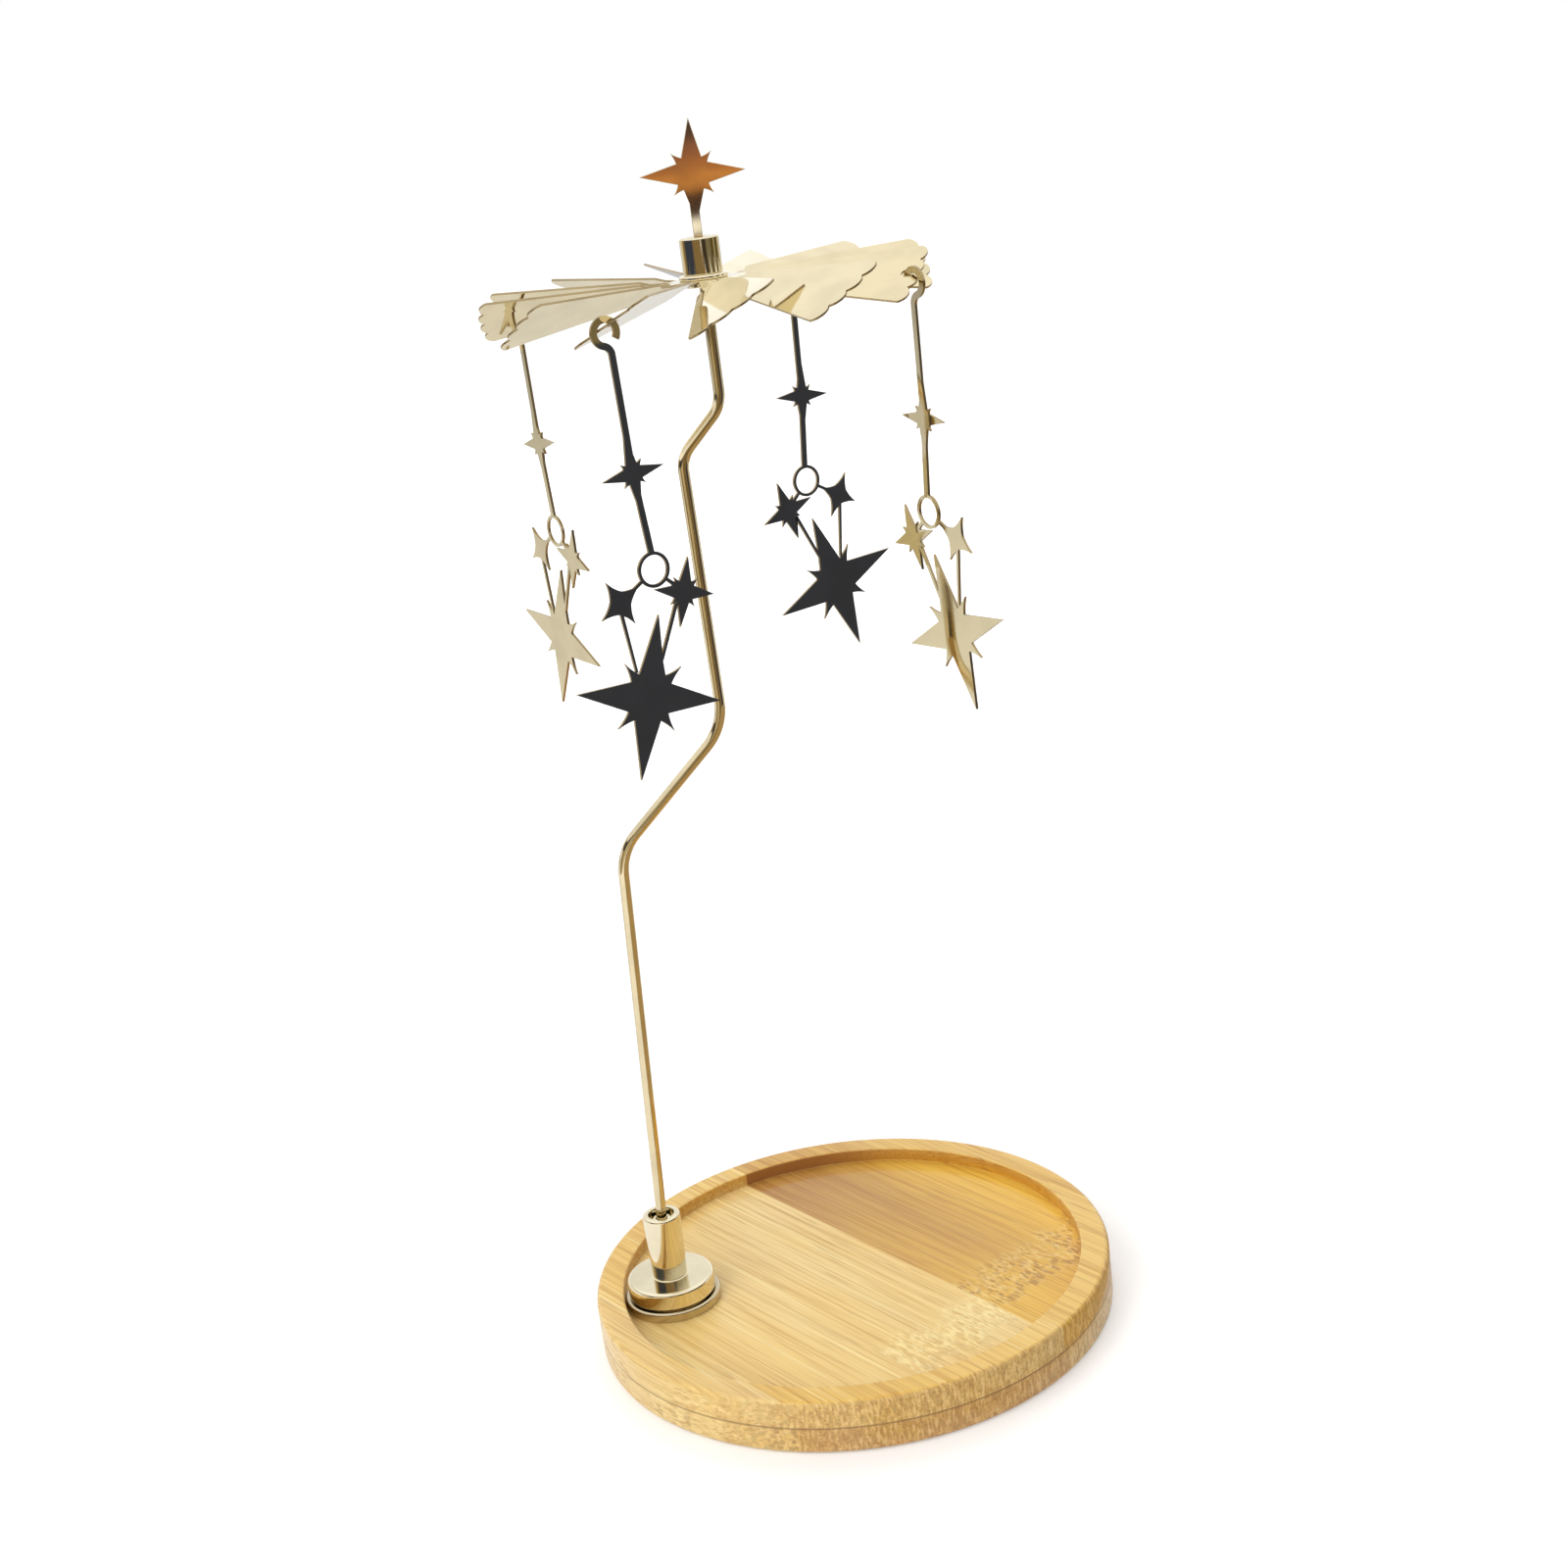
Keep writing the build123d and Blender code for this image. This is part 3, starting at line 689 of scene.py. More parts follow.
# %% [markdown]
# ## The tray
# Two boards are glued face to face, and the upper one has a shallow recess routed for the tea light. The
# glue line shows because the two edges were sanded separately, so each edge there gets a hair of
# rounding. The boards are turned, and the screw's hole is bored afterwards, because it doesn't lie on the
# tray's axis.

# %% Tray boards
SMOOTH_ROUND = 240
RECESS_RADIUS = 44.6
EDGE_ROUND = 1.0
SEAM_ROUND = 0.14
RECESS_EDGE_ROUND = 0.45
RECESS_FLOOR_ROUND = 0.12

bottom_board = turn(
    "bottom_board",
    0.0,
    [
        (0.0, 0.0, 0),
        (TRAY_RADIUS, 0.0, EDGE_ROUND),
        (TRAY_RADIUS, BOARD_TOP, SEAM_ROUND),
        (0.0, BOARD_TOP, 0),
    ],
    SMOOTH_ROUND,
)
top_board = turn(
    "top_board",
    0.0,
    [
        (0.0, BOARD_TOP, 0),
        (TRAY_RADIUS, BOARD_TOP, SEAM_ROUND),
        (TRAY_RADIUS, TRAY_TOP, EDGE_ROUND),
        (RECESS_RADIUS, TRAY_TOP, RECESS_EDGE_ROUND),
        (RECESS_RADIUS, RECESS_FLOOR, RECESS_FLOOR_ROUND),
        (0.0, RECESS_FLOOR, 0),
    ],
    SMOOTH_ROUND,
)
print("recess is", round(TRAY_TOP - RECESS_FLOOR, 2), "mm deep")

# %% Bore the screw's hole
DRILL_STEPS = 48
DRILL_START = -1.0
SCREW_HOLE = 2.2
COUNTERSINK = 4.2
drill = turn(
    "drill",
    FOOT_X,
    [
        (0.0, DRILL_START, 0),
        (COUNTERSINK - DRILL_START, DRILL_START, 0),
        (SCREW_HOLE, COUNTERSINK - SCREW_HOLE, 0),
        (SCREW_HOLE, TRAY_TOP, 0),
        (0.0, TRAY_TOP, 0),
    ],
    DRILL_STEPS,
)
cut_away(bottom_board, drill)
cut_away(top_board, drill)
bpy.data.objects.remove(drill)
place(bottom_board, "base", "tray_bottom_board", [bamboo_bottom])
place(top_board, "base", "tray_top_board", [bamboo_top])

# %% [markdown]
# ## The foot
# The stem stands in a small turned foot near the edge of the recess: a thin plate, a grooved flange on
# it, and a neck that widens a little to its mouth. A screw from below holds it in a tapped hole, and a
# narrow bore above that is the wire's seat. In the mouth a collar centres the wire. Crisp steps with
# small roundings are what make turned metal sparkle, so each ring gets a rounding of its own.

# %% Plate under the foot
FINE_ROUND = 128
PLATE_RADIUS = (plate_high.x - plate_low.x) / 2 / MM
PLATE_TOP = plate_high.z / MM
PLATE_ROUND = 0.5
PLATE_FOOT_ROUND = 0.15

foot_disc = turn(
    "foot_disc",
    FOOT_X,
    [
        (SCREW_HOLE, RECESS_FLOOR, 0),
        (PLATE_RADIUS, RECESS_FLOOR, PLATE_FOOT_ROUND),
        (PLATE_RADIUS, PLATE_TOP, PLATE_ROUND),
        (SCREW_HOLE, PLATE_TOP, 0),
        (SCREW_HOLE, RECESS_FLOOR, 0),
    ],
    FINE_ROUND,
)
print("plate is", round(2 * PLATE_RADIUS, 1), "mm wide")

# %% Socket of the stem
WIRE_RADIUS = 1.0
SEAT_FIT = 0.03
SEAT_RADIUS = WIRE_RADIUS + SEAT_FIT
TAP_RADIUS = 2.03
GROOVE_RADIUS = 7.6
GROOVE_HEIGHT = 0.35
GROOVE_TOP = PLATE_TOP + GROOVE_HEIGHT
FLANGE_HEIGHT = 3.3
FLANGE_TOP = GROOVE_TOP + FLANGE_HEIGHT
FLANGE_ROUND = 0.7
FLANGE_FOOT_ROUND = 0.12
NECK_FOOT_RADIUS = 3.35
NECK_FOOT_ROUND = 0.25
NECK_MOUTH_RADIUS = 3.65
NECK_MOUTH_ROUND = 0.55
BORE_RADIUS = 2.5
BORE_ROUND = 0.15
socket_low, socket_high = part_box("stem_socket")
collar_low, collar_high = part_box("stem_collar")
stem_low, stem_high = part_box("stem")
FLANGE_RADIUS = (socket_high.x - socket_low.x) / 2 / MM
NECK_TOP = socket_high.z / MM
COLLAR_SEAT = collar_low.z / MM
STEM_END = stem_low.z / MM
SCREW_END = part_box("foot_screw")[1].z / MM

stem_foot = turn(
    "stem_foot",
    FOOT_X,
    [
        (0.0, SCREW_END, 0),
        (TAP_RADIUS, SCREW_END, 0),
        (TAP_RADIUS, PLATE_TOP, 0),
        (GROOVE_RADIUS, PLATE_TOP, 0),
        (GROOVE_RADIUS, GROOVE_TOP, 0),
        (FLANGE_RADIUS, GROOVE_TOP, FLANGE_FOOT_ROUND),
        (FLANGE_RADIUS, FLANGE_TOP, FLANGE_ROUND),
        (NECK_FOOT_RADIUS, FLANGE_TOP, NECK_FOOT_ROUND),
        (NECK_MOUTH_RADIUS, NECK_TOP, NECK_MOUTH_ROUND),
        (BORE_RADIUS, NECK_TOP, BORE_ROUND),
        (BORE_RADIUS, COLLAR_SEAT, 0),
        (SEAT_RADIUS, COLLAR_SEAT, 0),
        (SEAT_RADIUS, STEM_END, 0),
        (0.0, STEM_END, 0),
    ],
    FINE_ROUND,
)
print("neck stands", round(NECK_TOP - FLANGE_TOP, 1), "mm over its flange")

# %% Collar in the mouth
COLLAR_CLEARANCE = 0.12
COLLAR_BORE = WIRE_RADIUS + COLLAR_CLEARANCE
COLLAR_RADIUS = (collar_high.x - collar_low.x) / 2 / MM
COLLAR_TOP = collar_high.z / MM
COLLAR_ROUND = 0.25
COLLAR_BORE_ROUND = 0.1

mouth_collar = turn(
    "mouth_collar",
    FOOT_X,
    [
        (COLLAR_BORE, COLLAR_SEAT, 0),
        (COLLAR_RADIUS, COLLAR_SEAT, 0),
        (COLLAR_RADIUS, COLLAR_TOP, COLLAR_ROUND),
        (COLLAR_BORE, COLLAR_TOP, COLLAR_BORE_ROUND),
        (COLLAR_BORE, COLLAR_SEAT, 0),
    ],
    FINE_ROUND,
)
# The plate wears the darker gold, which is painted shade.
place(foot_disc, "base", "foot_plate", [shaded_plate_gold])
place(stem_foot, "base", "stem_socket", [gold_turned])
place(mouth_collar, "base", "stem_collar", [gold_turned])

# %% [markdown]
# ## The stem
# One gold wire is bent on its way up to the wheel's axis, with two jogs, and ground to a point at the
# top. A wire is bent round a former, and the spin tool does just that to a ring of points: straight runs
# are extrusions, and each bend is a spin about a centre to one side. A curve with a round section would
# do as well, but it hides the bends' radii in its handles. The corners of the route are those of the
# frame.

# %% Route of the wire
AXIS_X = frame["joints"][0]["pos_m"][0] / MM
WHEEL_Z = 198.6
STEM_LEAN = 3.1

# A jog starts and ends at a depth below the wheel, and its reach is measured back from the wheel's axis.
LOWER_JOG_START = 99.0
LOWER_JOG_END = 78.4
LOWER_JOG_REACH = 7.1
UPPER_JOG_START = 29.4
UPPER_JOG_END = 21.4
UPPER_JOG_REACH = 7.9
NEEDLE_LENGTH = 3.4
NEEDLE_POINT = 0.08
STEM_TOP = stem_high.z / MM
ROUTE = [
    Vector((FOOT_X, STEM_END)),
    Vector((FOOT_X, COLLAR_SEAT)),
    Vector((FOOT_X + STEM_LEAN, WHEEL_Z - LOWER_JOG_START)),
    Vector((AXIS_X - LOWER_JOG_REACH, WHEEL_Z - LOWER_JOG_END)),
    Vector((AXIS_X - UPPER_JOG_REACH, WHEEL_Z - UPPER_JOG_START)),
    Vector((AXIS_X, WHEEL_Z - UPPER_JOG_END)),
    Vector((AXIS_X, STEM_TOP - NEEDLE_LENGTH)),
]
SOCKET_BEND = 40.0
LOWER_JOG_BEND = 11.0
UPPER_JOG_BEND = 6.0
BEND_RADII = (SOCKET_BEND, LOWER_JOG_BEND, LOWER_JOG_BEND, UPPER_JOG_BEND, UPPER_JOG_BEND)


def in_space(point):
    """A point of the upright route, in the frame."""
    return Vector((point.x, 0, point.y)) * MM


print("wire from", round(STEM_END, 1), "to", round(STEM_TOP, 1), "mm with", len(BEND_RADII), "bends")

# %% Bend the wire
WIRE_SIDES = 40
BEND_STEPS = 14
bpy.ops.object.select_all(action="DESELECT")
bpy.ops.mesh.primitive_circle_add(vertices=WIRE_SIDES, radius=WIRE_RADIUS * MM)
wire_stem = bpy.context.object
wire_stem.name = "wire_stem"
bpy.ops.object.mode_set(mode="EDIT")
bpy.ops.mesh.select_all(action="SELECT")
bpy.ops.transform.translate(value=in_space(ROUTE[0]))
here = ROUTE[0]
for before, corner, after, radius in zip(ROUTE, ROUTE[1:], ROUTE[2:], BEND_RADII):
    heading = (corner - before).normalized()
    leaving = (after - corner).normalized()
    bend = atan2(heading.y, heading.x) - atan2(leaving.y, leaving.x)
    bend_start = corner - heading * radius * tan(abs(bend) / 2)
    bpy.ops.mesh.extrude_region_move(TRANSFORM_OT_translate={"value": in_space(bend_start - here)})
    to_the_right = Vector((heading.y, -heading.x))
    former = bend_start + to_the_right * radius * (1 if bend > 0 else -1)
    bpy.ops.mesh.spin(steps=BEND_STEPS, angle=-bend, center=in_space(former), axis=(0, 1, 0))
    here = corner + leaving * radius * tan(abs(bend) / 2)
bpy.ops.mesh.extrude_region_move(TRANSFORM_OT_translate={"value": in_space(ROUTE[-1] - here)})
print("last straight run starts at", round(here.y, 1), "mm")

# %% Grind the needle and close the ends
WIRE_CORNER = 40
needle = STEM_TOP - ROUTE[-1].y
bpy.ops.mesh.extrude_region_move(TRANSFORM_OT_translate={"value": (0, 0, needle * MM)})
taper = NEEDLE_POINT / WIRE_RADIUS
bpy.ops.transform.resize(value=(taper, taper, 1), center_override=(AXIS_X * MM, 0, stem_high.z))
bpy.ops.mesh.edge_face_add()
select_edges(wire_stem, lambda point: point.z < stem_low.z + TOUCH)
bpy.ops.mesh.edge_face_add()
bpy.ops.mesh.select_all(action="SELECT")
bpy.ops.mesh.remove_doubles(threshold=TOUCH)
bpy.ops.mesh.normals_make_consistent(inside=False)
finish_mesh(wire_stem, WIRE_CORNER)
place(wire_stem, "base", "stem", [gold_wire])
needle_end = max((point.co for point in wire_stem.data.vertices), key=lambda spot: spot.z)
needle_end = [round(value / MM, 2) for value in needle_end]
print("needle ends at", needle_end, "and the axis is at", round(AXIS_X, 2))

# %% [markdown]
# ## The hub
# The hub is a short cap that hides the needle's point. A washer spreads its load on the wheel, and a ring
# pressed on from below holds the wheel. They are turned like the foot. The slot for the star's tang isn't
# round, so it is cut afterwards, with a block for a chisel.

# %% Hub cap
hub_low, hub_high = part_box("hub_cap")
HUB_RADIUS = (hub_high.x - hub_low.x) / 2 / MM
HUB_TOP = hub_high.z / MM
HUB_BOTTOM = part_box("hub_washer")[1].z / MM
HUB_TOP_ROUND = 0.35
HUB_FOOT_ROUND = 0.2
SPIGOT_RADIUS = 2.5
SPIGOT_BOTTOM = hub_low.z / MM
SPIGOT_ROUND = 0.1
HUB_BORE = 1.6
CUP_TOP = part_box("bearing_cup")[1].z / MM

hub = turn(
    "hub",
    AXIS_X,
    [
        (0.0, HUB_TOP, 0),
        (HUB_RADIUS, HUB_TOP, HUB_TOP_ROUND),
        (HUB_RADIUS, HUB_BOTTOM, HUB_FOOT_ROUND),
        (SPIGOT_RADIUS, HUB_BOTTOM, 0),
        (SPIGOT_RADIUS, SPIGOT_BOTTOM, SPIGOT_ROUND),
        (HUB_BORE, SPIGOT_BOTTOM, SPIGOT_ROUND),
        (HUB_BORE, CUP_TOP, 0),
        (0.0, CUP_TOP, 0),
    ],
    FINE_ROUND,
)
print("hub is", round(HUB_TOP - HUB_BOTTOM, 1), "mm high over its washer")

# %% Washer and ring
RING_TOP_ROUND = 0.28
RING_FOOT_ROUND = 0.18


def flat_ring(name, node):
    """A flat ring on the hub's spigot, as wide and high as its frame node, with rounded outer edges."""
    ring_low, ring_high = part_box(node)
    outside = (ring_high.x - ring_low.x) / 2 / MM
    bottom, top = ring_low.z / MM, ring_high.z / MM
    outline = [
        (SPIGOT_RADIUS, bottom, 0),
        (outside, bottom, RING_FOOT_ROUND),
        (outside, top, RING_TOP_ROUND),
        (SPIGOT_RADIUS, top, 0),
        (SPIGOT_RADIUS, bottom, 0),
    ]
    return turn(name, AXIS_X, outline, FINE_ROUND)


wheel_washer = flat_ring("wheel_washer", "hub_washer")
press_ring = flat_ring("press_ring", "retaining_ring")
print("rings with", len(wheel_washer.data.polygons), "and", len(press_ring.data.polygons), "faces")

# %% Slot for the star's tang
SLOT_WIDTH = 1.56
SLOT_THICKNESS = 0.66
slot_depth = HUB_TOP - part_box("finial_star")[0].z / MM
bpy.ops.object.select_all(action="DESELECT")
bpy.ops.mesh.primitive_cube_add(size=1, location=(AXIS_X * MM, 0, HUB_TOP * MM))
chisel = bpy.context.object
chisel.scale = Vector((SLOT_WIDTH, SLOT_THICKNESS, 2 * slot_depth)) * MM
bpy.ops.object.transform_apply(location=True, rotation=True, scale=True)
cut_away(hub, chisel)
bpy.data.objects.remove(chisel)
place(hub, "rotor", "hub_cap", [gold_turned])
place(wheel_washer, "rotor", "hub_washer", [gold_turned])
place(press_ring, "rotor", "retaining_ring", [gold_turned])

# %% [markdown]
# ## Etched sheets
# The wheel, the top star and the four pendants are cut from thin sheet. Their outlines belong to the
# frame, so each starts as a copy of its frame mesh. The copy is loose triangles: they are merged, flat
# areas are joined to single faces, and every cut edge gets a tiny bevel that catches the light. The
# narrow faces along the cut are duller and browner than the polished sides, because the cut was etched,
# so they get a finish of their own.

# %% Sheet helpers
FLAT_WITHIN = 0.4
CUT_CORNER = 40
CUT_BEVEL_STEPS = 2
SHEET_CORNER = 50
CUT_FACING = 0.5


def copy_sheet(name, node):
    """A copy of a sheet node with merged points and flat areas joined to single faces."""
    piece = bpy.data.objects.new(name, frame["nodes"][node].data.copy())
    bpy.context.scene.collection.objects.link(piece)
    pick_only(piece)
    bpy.ops.mesh.customdata_custom_splitnormals_clear()
    bpy.ops.object.mode_set(mode="EDIT")
    bpy.ops.mesh.select_all(action="SELECT")
    bpy.ops.mesh.remove_doubles(threshold=TOUCH)
    bpy.ops.mesh.dissolve_limited(angle_limit=radians(FLAT_WITHIN))
    bpy.ops.object.mode_set(mode="OBJECT")
    return piece


def bevel_cut(piece, bevel):
    """Bevels the edges along the cut."""
    pick_only(piece)
    bpy.ops.object.modifier_add(type="BEVEL")
    modifier = piece.modifiers[-1]
    modifier.width = bevel * MM
    modifier.segments = CUT_BEVEL_STEPS
    modifier.limit_method = "ANGLE"
    modifier.angle_limit = radians(CUT_CORNER)
    bpy.ops.object.modifier_apply(modifier=modifier.name)
    finish_mesh(piece, SHEET_CORNER)


def mark_cut(piece, sheet_normal):
    """Gives the second finish to faces that stand across the sheet."""
    marked = 0
    for face in piece.data.polygons:
        across_sheet = abs(face.normal.dot(sheet_normal(face.center))) < CUT_FACING
        face.material_index = 1 if across_sheet else 0
        marked += across_sheet
    print(piece.name, "has", marked, "faces along its cut")


# %% Wheel of vanes
WHEEL_BEVEL = 0.06
VANE_COUNT = 12
FIRST_VANE = -118.0
VANE_PITCH = 27.0
VANE_DROOP = 3.4
VANE_ROOT = 9.8
UP = Vector((0, 0, 1))


def vane_normal(spot):
    """The upward normal of the sheet at a spot of the wheel: level in the middle, pitched on a vane."""
    reach = Vector((spot.x - AXIS_X * MM, spot.y))
    if reach.length < VANE_ROOT * MM:
        return UP
    step = 2 * pi / VANE_COUNT
    first = radians(FIRST_VANE)
    angle = first + round((atan2(reach.y, reach.x) - first) / step) * step
    droop, pitch = radians(VANE_DROOP), radians(VANE_PITCH)
    along = Vector((cos(droop) * cos(angle), cos(droop) * sin(angle), -sin(droop)))
    level = Vector((sin(droop) * cos(angle), sin(droop) * sin(angle), cos(droop)))
    side = Vector((-sin(angle), cos(angle), 0)) * cos(pitch) + level * sin(pitch)
    return along.cross(side)


vanes = copy_sheet("vanes", "vane_wheel")
bevel_cut(vanes, WHEEL_BEVEL)
place(vanes, "rotor", "vane_wheel", [gold_sheet, gold_edge])
mark_cut(vanes, vane_normal)

# %% [markdown]
# ## The stars
# A pendant's left star is plain. Every other star has four thorns between its four long rays, which
# etching leaves as fine as needles. The frame's thorns are stouter, so here the points of each thorn are
# drawn in towards its middle line before the edges are bevelled. A star is given by its place from the
# first star's middle, its turn, how far its waist and its thorns reach, and half the width of a thorn's
# base.

# %% Thorn helper
RAYS = 4
WAIST_SLACK = 0.9
THORN_SLACK = 1.02
Star = namedtuple("Star", "shift rise turn waist thorn base")


def sharpen(piece, first_middle, level, star, width):
    """Draws in the thorns of a star to a share of their width. Level is the star's own level direction."""
    middle = first_middle + (level * star.shift + UP * star.rise) * MM
    bpy.ops.object.mode_set(mode="EDIT")
    mesh = bmesh.from_edit_mesh(piece.data)
    moved = 0
    for ray in range(RAYS):
        bearing = radians(star.turn + (ray + 0.5) * 360 / RAYS)
        outward = level * cos(bearing) + UP * sin(bearing)
        sideways = UP * cos(bearing) - level * sin(bearing)
        for point in mesh.verts:
            far = (point.co - middle).dot(outward) / MM
            aside = (point.co - middle).dot(sideways)
            on_thorn = WAIST_SLACK * star.waist < far < THORN_SLACK * star.thorn
            if on_thorn and abs(aside) < star.base * MM:
                point.co -= sideways * aside * (1 - width)
                moved += 1
    bmesh.update_edit_mesh(piece.data)
    bpy.ops.object.mode_set(mode="OBJECT")
    print(piece.name, "has a star with", moved, "points drawn in")


# %% Star on top
STAR_BEVEL = 0.07
TOP_THORN_WIDTH = 0.58
TOP_STAR_SHIFT = 0.4
TOP_STAR_RISE = 10.3
TOP_STAR = Star(0.0, 0.0, -2.6, 3.25, 4.9, 1.25)
top_middle = Vector((AXIS_X + TOP_STAR_SHIFT, 0, HUB_TOP + TOP_STAR_RISE)) * MM
top_star = copy_sheet("top_star", "finial_star")
sharpen(top_star, top_middle, Vector((1, 0, 0)), TOP_STAR, TOP_THORN_WIDTH)
bevel_cut(top_star, STAR_BEVEL)
place(top_star, "rotor", "finial_star", [gold_sheet, gold_edge])
mark_cut(top_star, lambda spot: Vector((0, 1, 0)))

# %% [markdown]
# ## The pendants
# Each pendant is one etched sheet: a hook, a bar, a small star, a ring and three more stars on fine
# links. They hang through holes in every third vane and swing a little, each on a body of its own. Their
# flat sides face along the swing's axis, which the frame's joints give, so one loop can dress all four.
# The big star's lowest point is the pendant's, so its middle follows from that.

# %% Pendants
PENDANT_THORN_WIDTH = 0.70
BIG_REACH = 13.7
PENDANT_STARS = [
    Star(0.0, 0.0, -16.0, 4.6, 7.6, 1.46),
    Star(9.1, 15.7, -16.0, 2.1, 3.2, 0.67),
    Star(2.85, 36.4, 4.5, 1.85, 2.75, 0.59),
]
for joint in frame["joints"][1:]:
    node = joint["name"].removesuffix("_swing")
    faces_along = Vector(joint["axis"])
    level = Vector((-faces_along.y, faces_along.x, 0))
    pendant = copy_sheet(node.replace("pendant", "stars"), node)
    lowest = min((point.co for point in pendant.data.vertices), key=lambda spot: spot.z)
    lowest_ray = radians(PENDANT_STARS[0].turn - 90)
    big_middle = lowest - (level * cos(lowest_ray) + UP * sin(lowest_ray)) * BIG_REACH * MM
    for star in PENDANT_STARS:
        sharpen(pendant, big_middle, level, star, PENDANT_THORN_WIDTH)
    bevel_cut(pendant, STAR_BEVEL)
    place(pendant, joint["child"], node, [gold_sheet, gold_edge])
    mark_cut(pendant, lambda spot: faces_along)

# %% [markdown]
# ## Hidden pieces
# The screw under the tray and the bearing cup inside the hub are good as they are in the frame. They only
# need their metals.

# %% Screw and cup
for node, finish in (("foot_screw", screw_steel), ("bearing_cup", cup_brass)):
    hidden_piece = frame["nodes"][node]
    hidden_piece.data.materials.clear()
    hidden_piece.data.materials.append(finish)
    print(node, "is finished in", finish.name)

# %% [markdown]
# ## The studio
# A white floor, a white surround and three soft lamps give even light. The floor glows a little for the
# camera, so that it comes out white and still keeps the shadow. From below it is clear, so that the
# tray's underside can be seen.

# %% Floor
FLOOR_DROP = -0.2 * MM
FLOOR_RADIUS = 6.0
FLOOR_SIDES = 96
FLOOR_WHITE = rgb(0.84, 0.84, 0.84)
FLOOR_ROUGHNESS = 0.9
GLOW = (0.12, 0.9, 0.28, 0.70)
MIRRORED_GLOW = (-0.02, 0.12, 0.9, 0.1)

bpy.ops.object.select_all(action="DESELECT")
bpy.ops.mesh.primitive_circle_add(
    vertices=FLOOR_SIDES,
    radius=FLOOR_RADIUS,
    fill_type="NGON",
    location=(0, 0, FLOOR_DROP),
)
floor = bpy.context.object
floor.name = "studio_floor"
floor_graph = Graph(bpy.data.materials.new("floor_white"))
rays = floor_graph.add("ShaderNodeLightPath").outputs
spot = floor_graph.place_on_piece()
depth = floor_graph.split(spot)[1]
mirrored = floor_graph.times(rays["Is Glossy Ray"], floor_graph.fade(depth, *MIRRORED_GLOW))
seen = floor_graph.math("MAXIMUM", rays["Is Camera Ray"], mirrored)
seen = floor_graph.math("MAXIMUM", seen, rays["Is Transmission Ray"])
floor_graph.dress(Base_Color=FLOOR_WHITE, Roughness=FLOOR_ROUGHNESS, Specular_IOR_Level=0.0)
glow = floor_graph.times(seen, floor_graph.fade(floor_graph.length(spot), *GLOW))
floor_graph.dress(Emission_Color=WHITE, Emission_Strength=glow)
clear = floor_graph.add("ShaderNodeBsdfTransparent").outputs[0]
from_below = floor_graph.add("ShaderNodeNewGeometry").outputs["Backfacing"]
sides = {0: from_below, 1: floor_graph.shader.outputs[0], 2: clear}
both = floor_graph.add("ShaderNodeMixShader", sides).outputs[0]
floor_graph.fill(floor_graph.tree.nodes["Material Output"].inputs["Surface"], both)
floor.data.materials.append(floor_graph.material)
print("floor", floor.dimensions.x, "m wide")

# %% White surround
WORLD_LIGHT = 0.47
BRIGHTEST = 1.25
SKY = [
    (0.0, 0.80),
    (0.12, 0.82),
    (0.19, 1.0),
    (0.34, 1.0),
    (0.43, 0.80),
    (0.53, 0.80),
    (0.60, 0.96),
    (1.0, 0.96),
]
world = bpy.data.worlds.new("white_room")
bpy.context.scene.world = world
room = Graph(world)
rays = room.add("ShaderNodeLightPath").outputs
upward = room.split(room.add("ShaderNodeTexCoord").outputs["Generated"])[2]
sky = room.blend(upward, [(height, rgb(grey, grey, grey)) for height, grey in SKY])
lighting = room.fade(rays["Is Camera Ray"], 0, 1, WORLD_LIGHT, 1.0)
strength = room.fade(rays["Is Glossy Ray"], 0, 1, lighting, room.times(sky, BRIGHTEST))
background = room.tree.nodes["Background"]
background.inputs["Color"].default_value = WHITE
room.fill(background.inputs["Strength"], strength)
print("room lights with", WORLD_LIGHT)

# %% Lamps
LAMP_AIM = Vector((0, 0, 0.12))
WARM_WHITE = (1.0, 0.97, 0.93)
PLAIN_WHITE = (1, 1, 1)


def lamp(name, spot, size, power, colour):
    """A square soft light at a spot, turned to the carousel's middle and not mirrored in its metal."""
    bpy.ops.object.light_add(type="AREA", location=spot)
    light = bpy.context.object
    light.name = name
    light.data.size = size
    light.data.energy = power
    light.data.color = colour
    light.rotation_euler = (LAMP_AIM - Vector(spot)).to_track_quat("-Z", "Y").to_euler()
    light.visible_glossy = False
    print(name, "gives", power, "W")


lamp("key_left", (-0.75, -0.45, 1.05), 0.7, 5.6, WARM_WHITE)
lamp("top_back", (0.15, 0.75, 1.15), 0.9, 6.0, PLAIN_WHITE)
lamp("front_fill", (-0.35, -0.95, 0.55), 0.8, 4.3, PLAIN_WHITE)

# %% [markdown]
# ## What the gold mirrors
# Polished metal shows what stands round it, and in a white room it would look white. Two striped drapes,
# one over the other, hang round the front and the sides and give it its dark reflections. A warm card
# beside the lens colours the star on top, and a brown mat on the floor gives the warm tones that the gold
# mirrors from below. Only reflections see them, so they throw no shadow and stand in no view's way. Each
# shows its own colours without any light, so the lamps can change without changing them.


# %% Helpers for what only reflections see
def only_in_reflections(thing, finish):
    """Shows a stage piece to reflections alone."""
    thing.data.materials.append(finish)
    thing.visible_camera = False
    thing.visible_diffuse = False
    thing.visible_shadow = False
    thing.visible_transmission = False


def show(graph, colour):
    """Makes a finish show a colour of its own, with no light from outside."""
    light = graph.add("ShaderNodeEmission", {"Color": colour}).outputs[0]
    graph.fill(graph.tree.nodes["Material Output"].inputs["Surface"], light)
    return graph.material


def level_direction(degrees):
    """The level direction at a bearing from the right-hand side."""
    return Vector((cos(radians(degrees)), sin(radians(degrees)), 0))


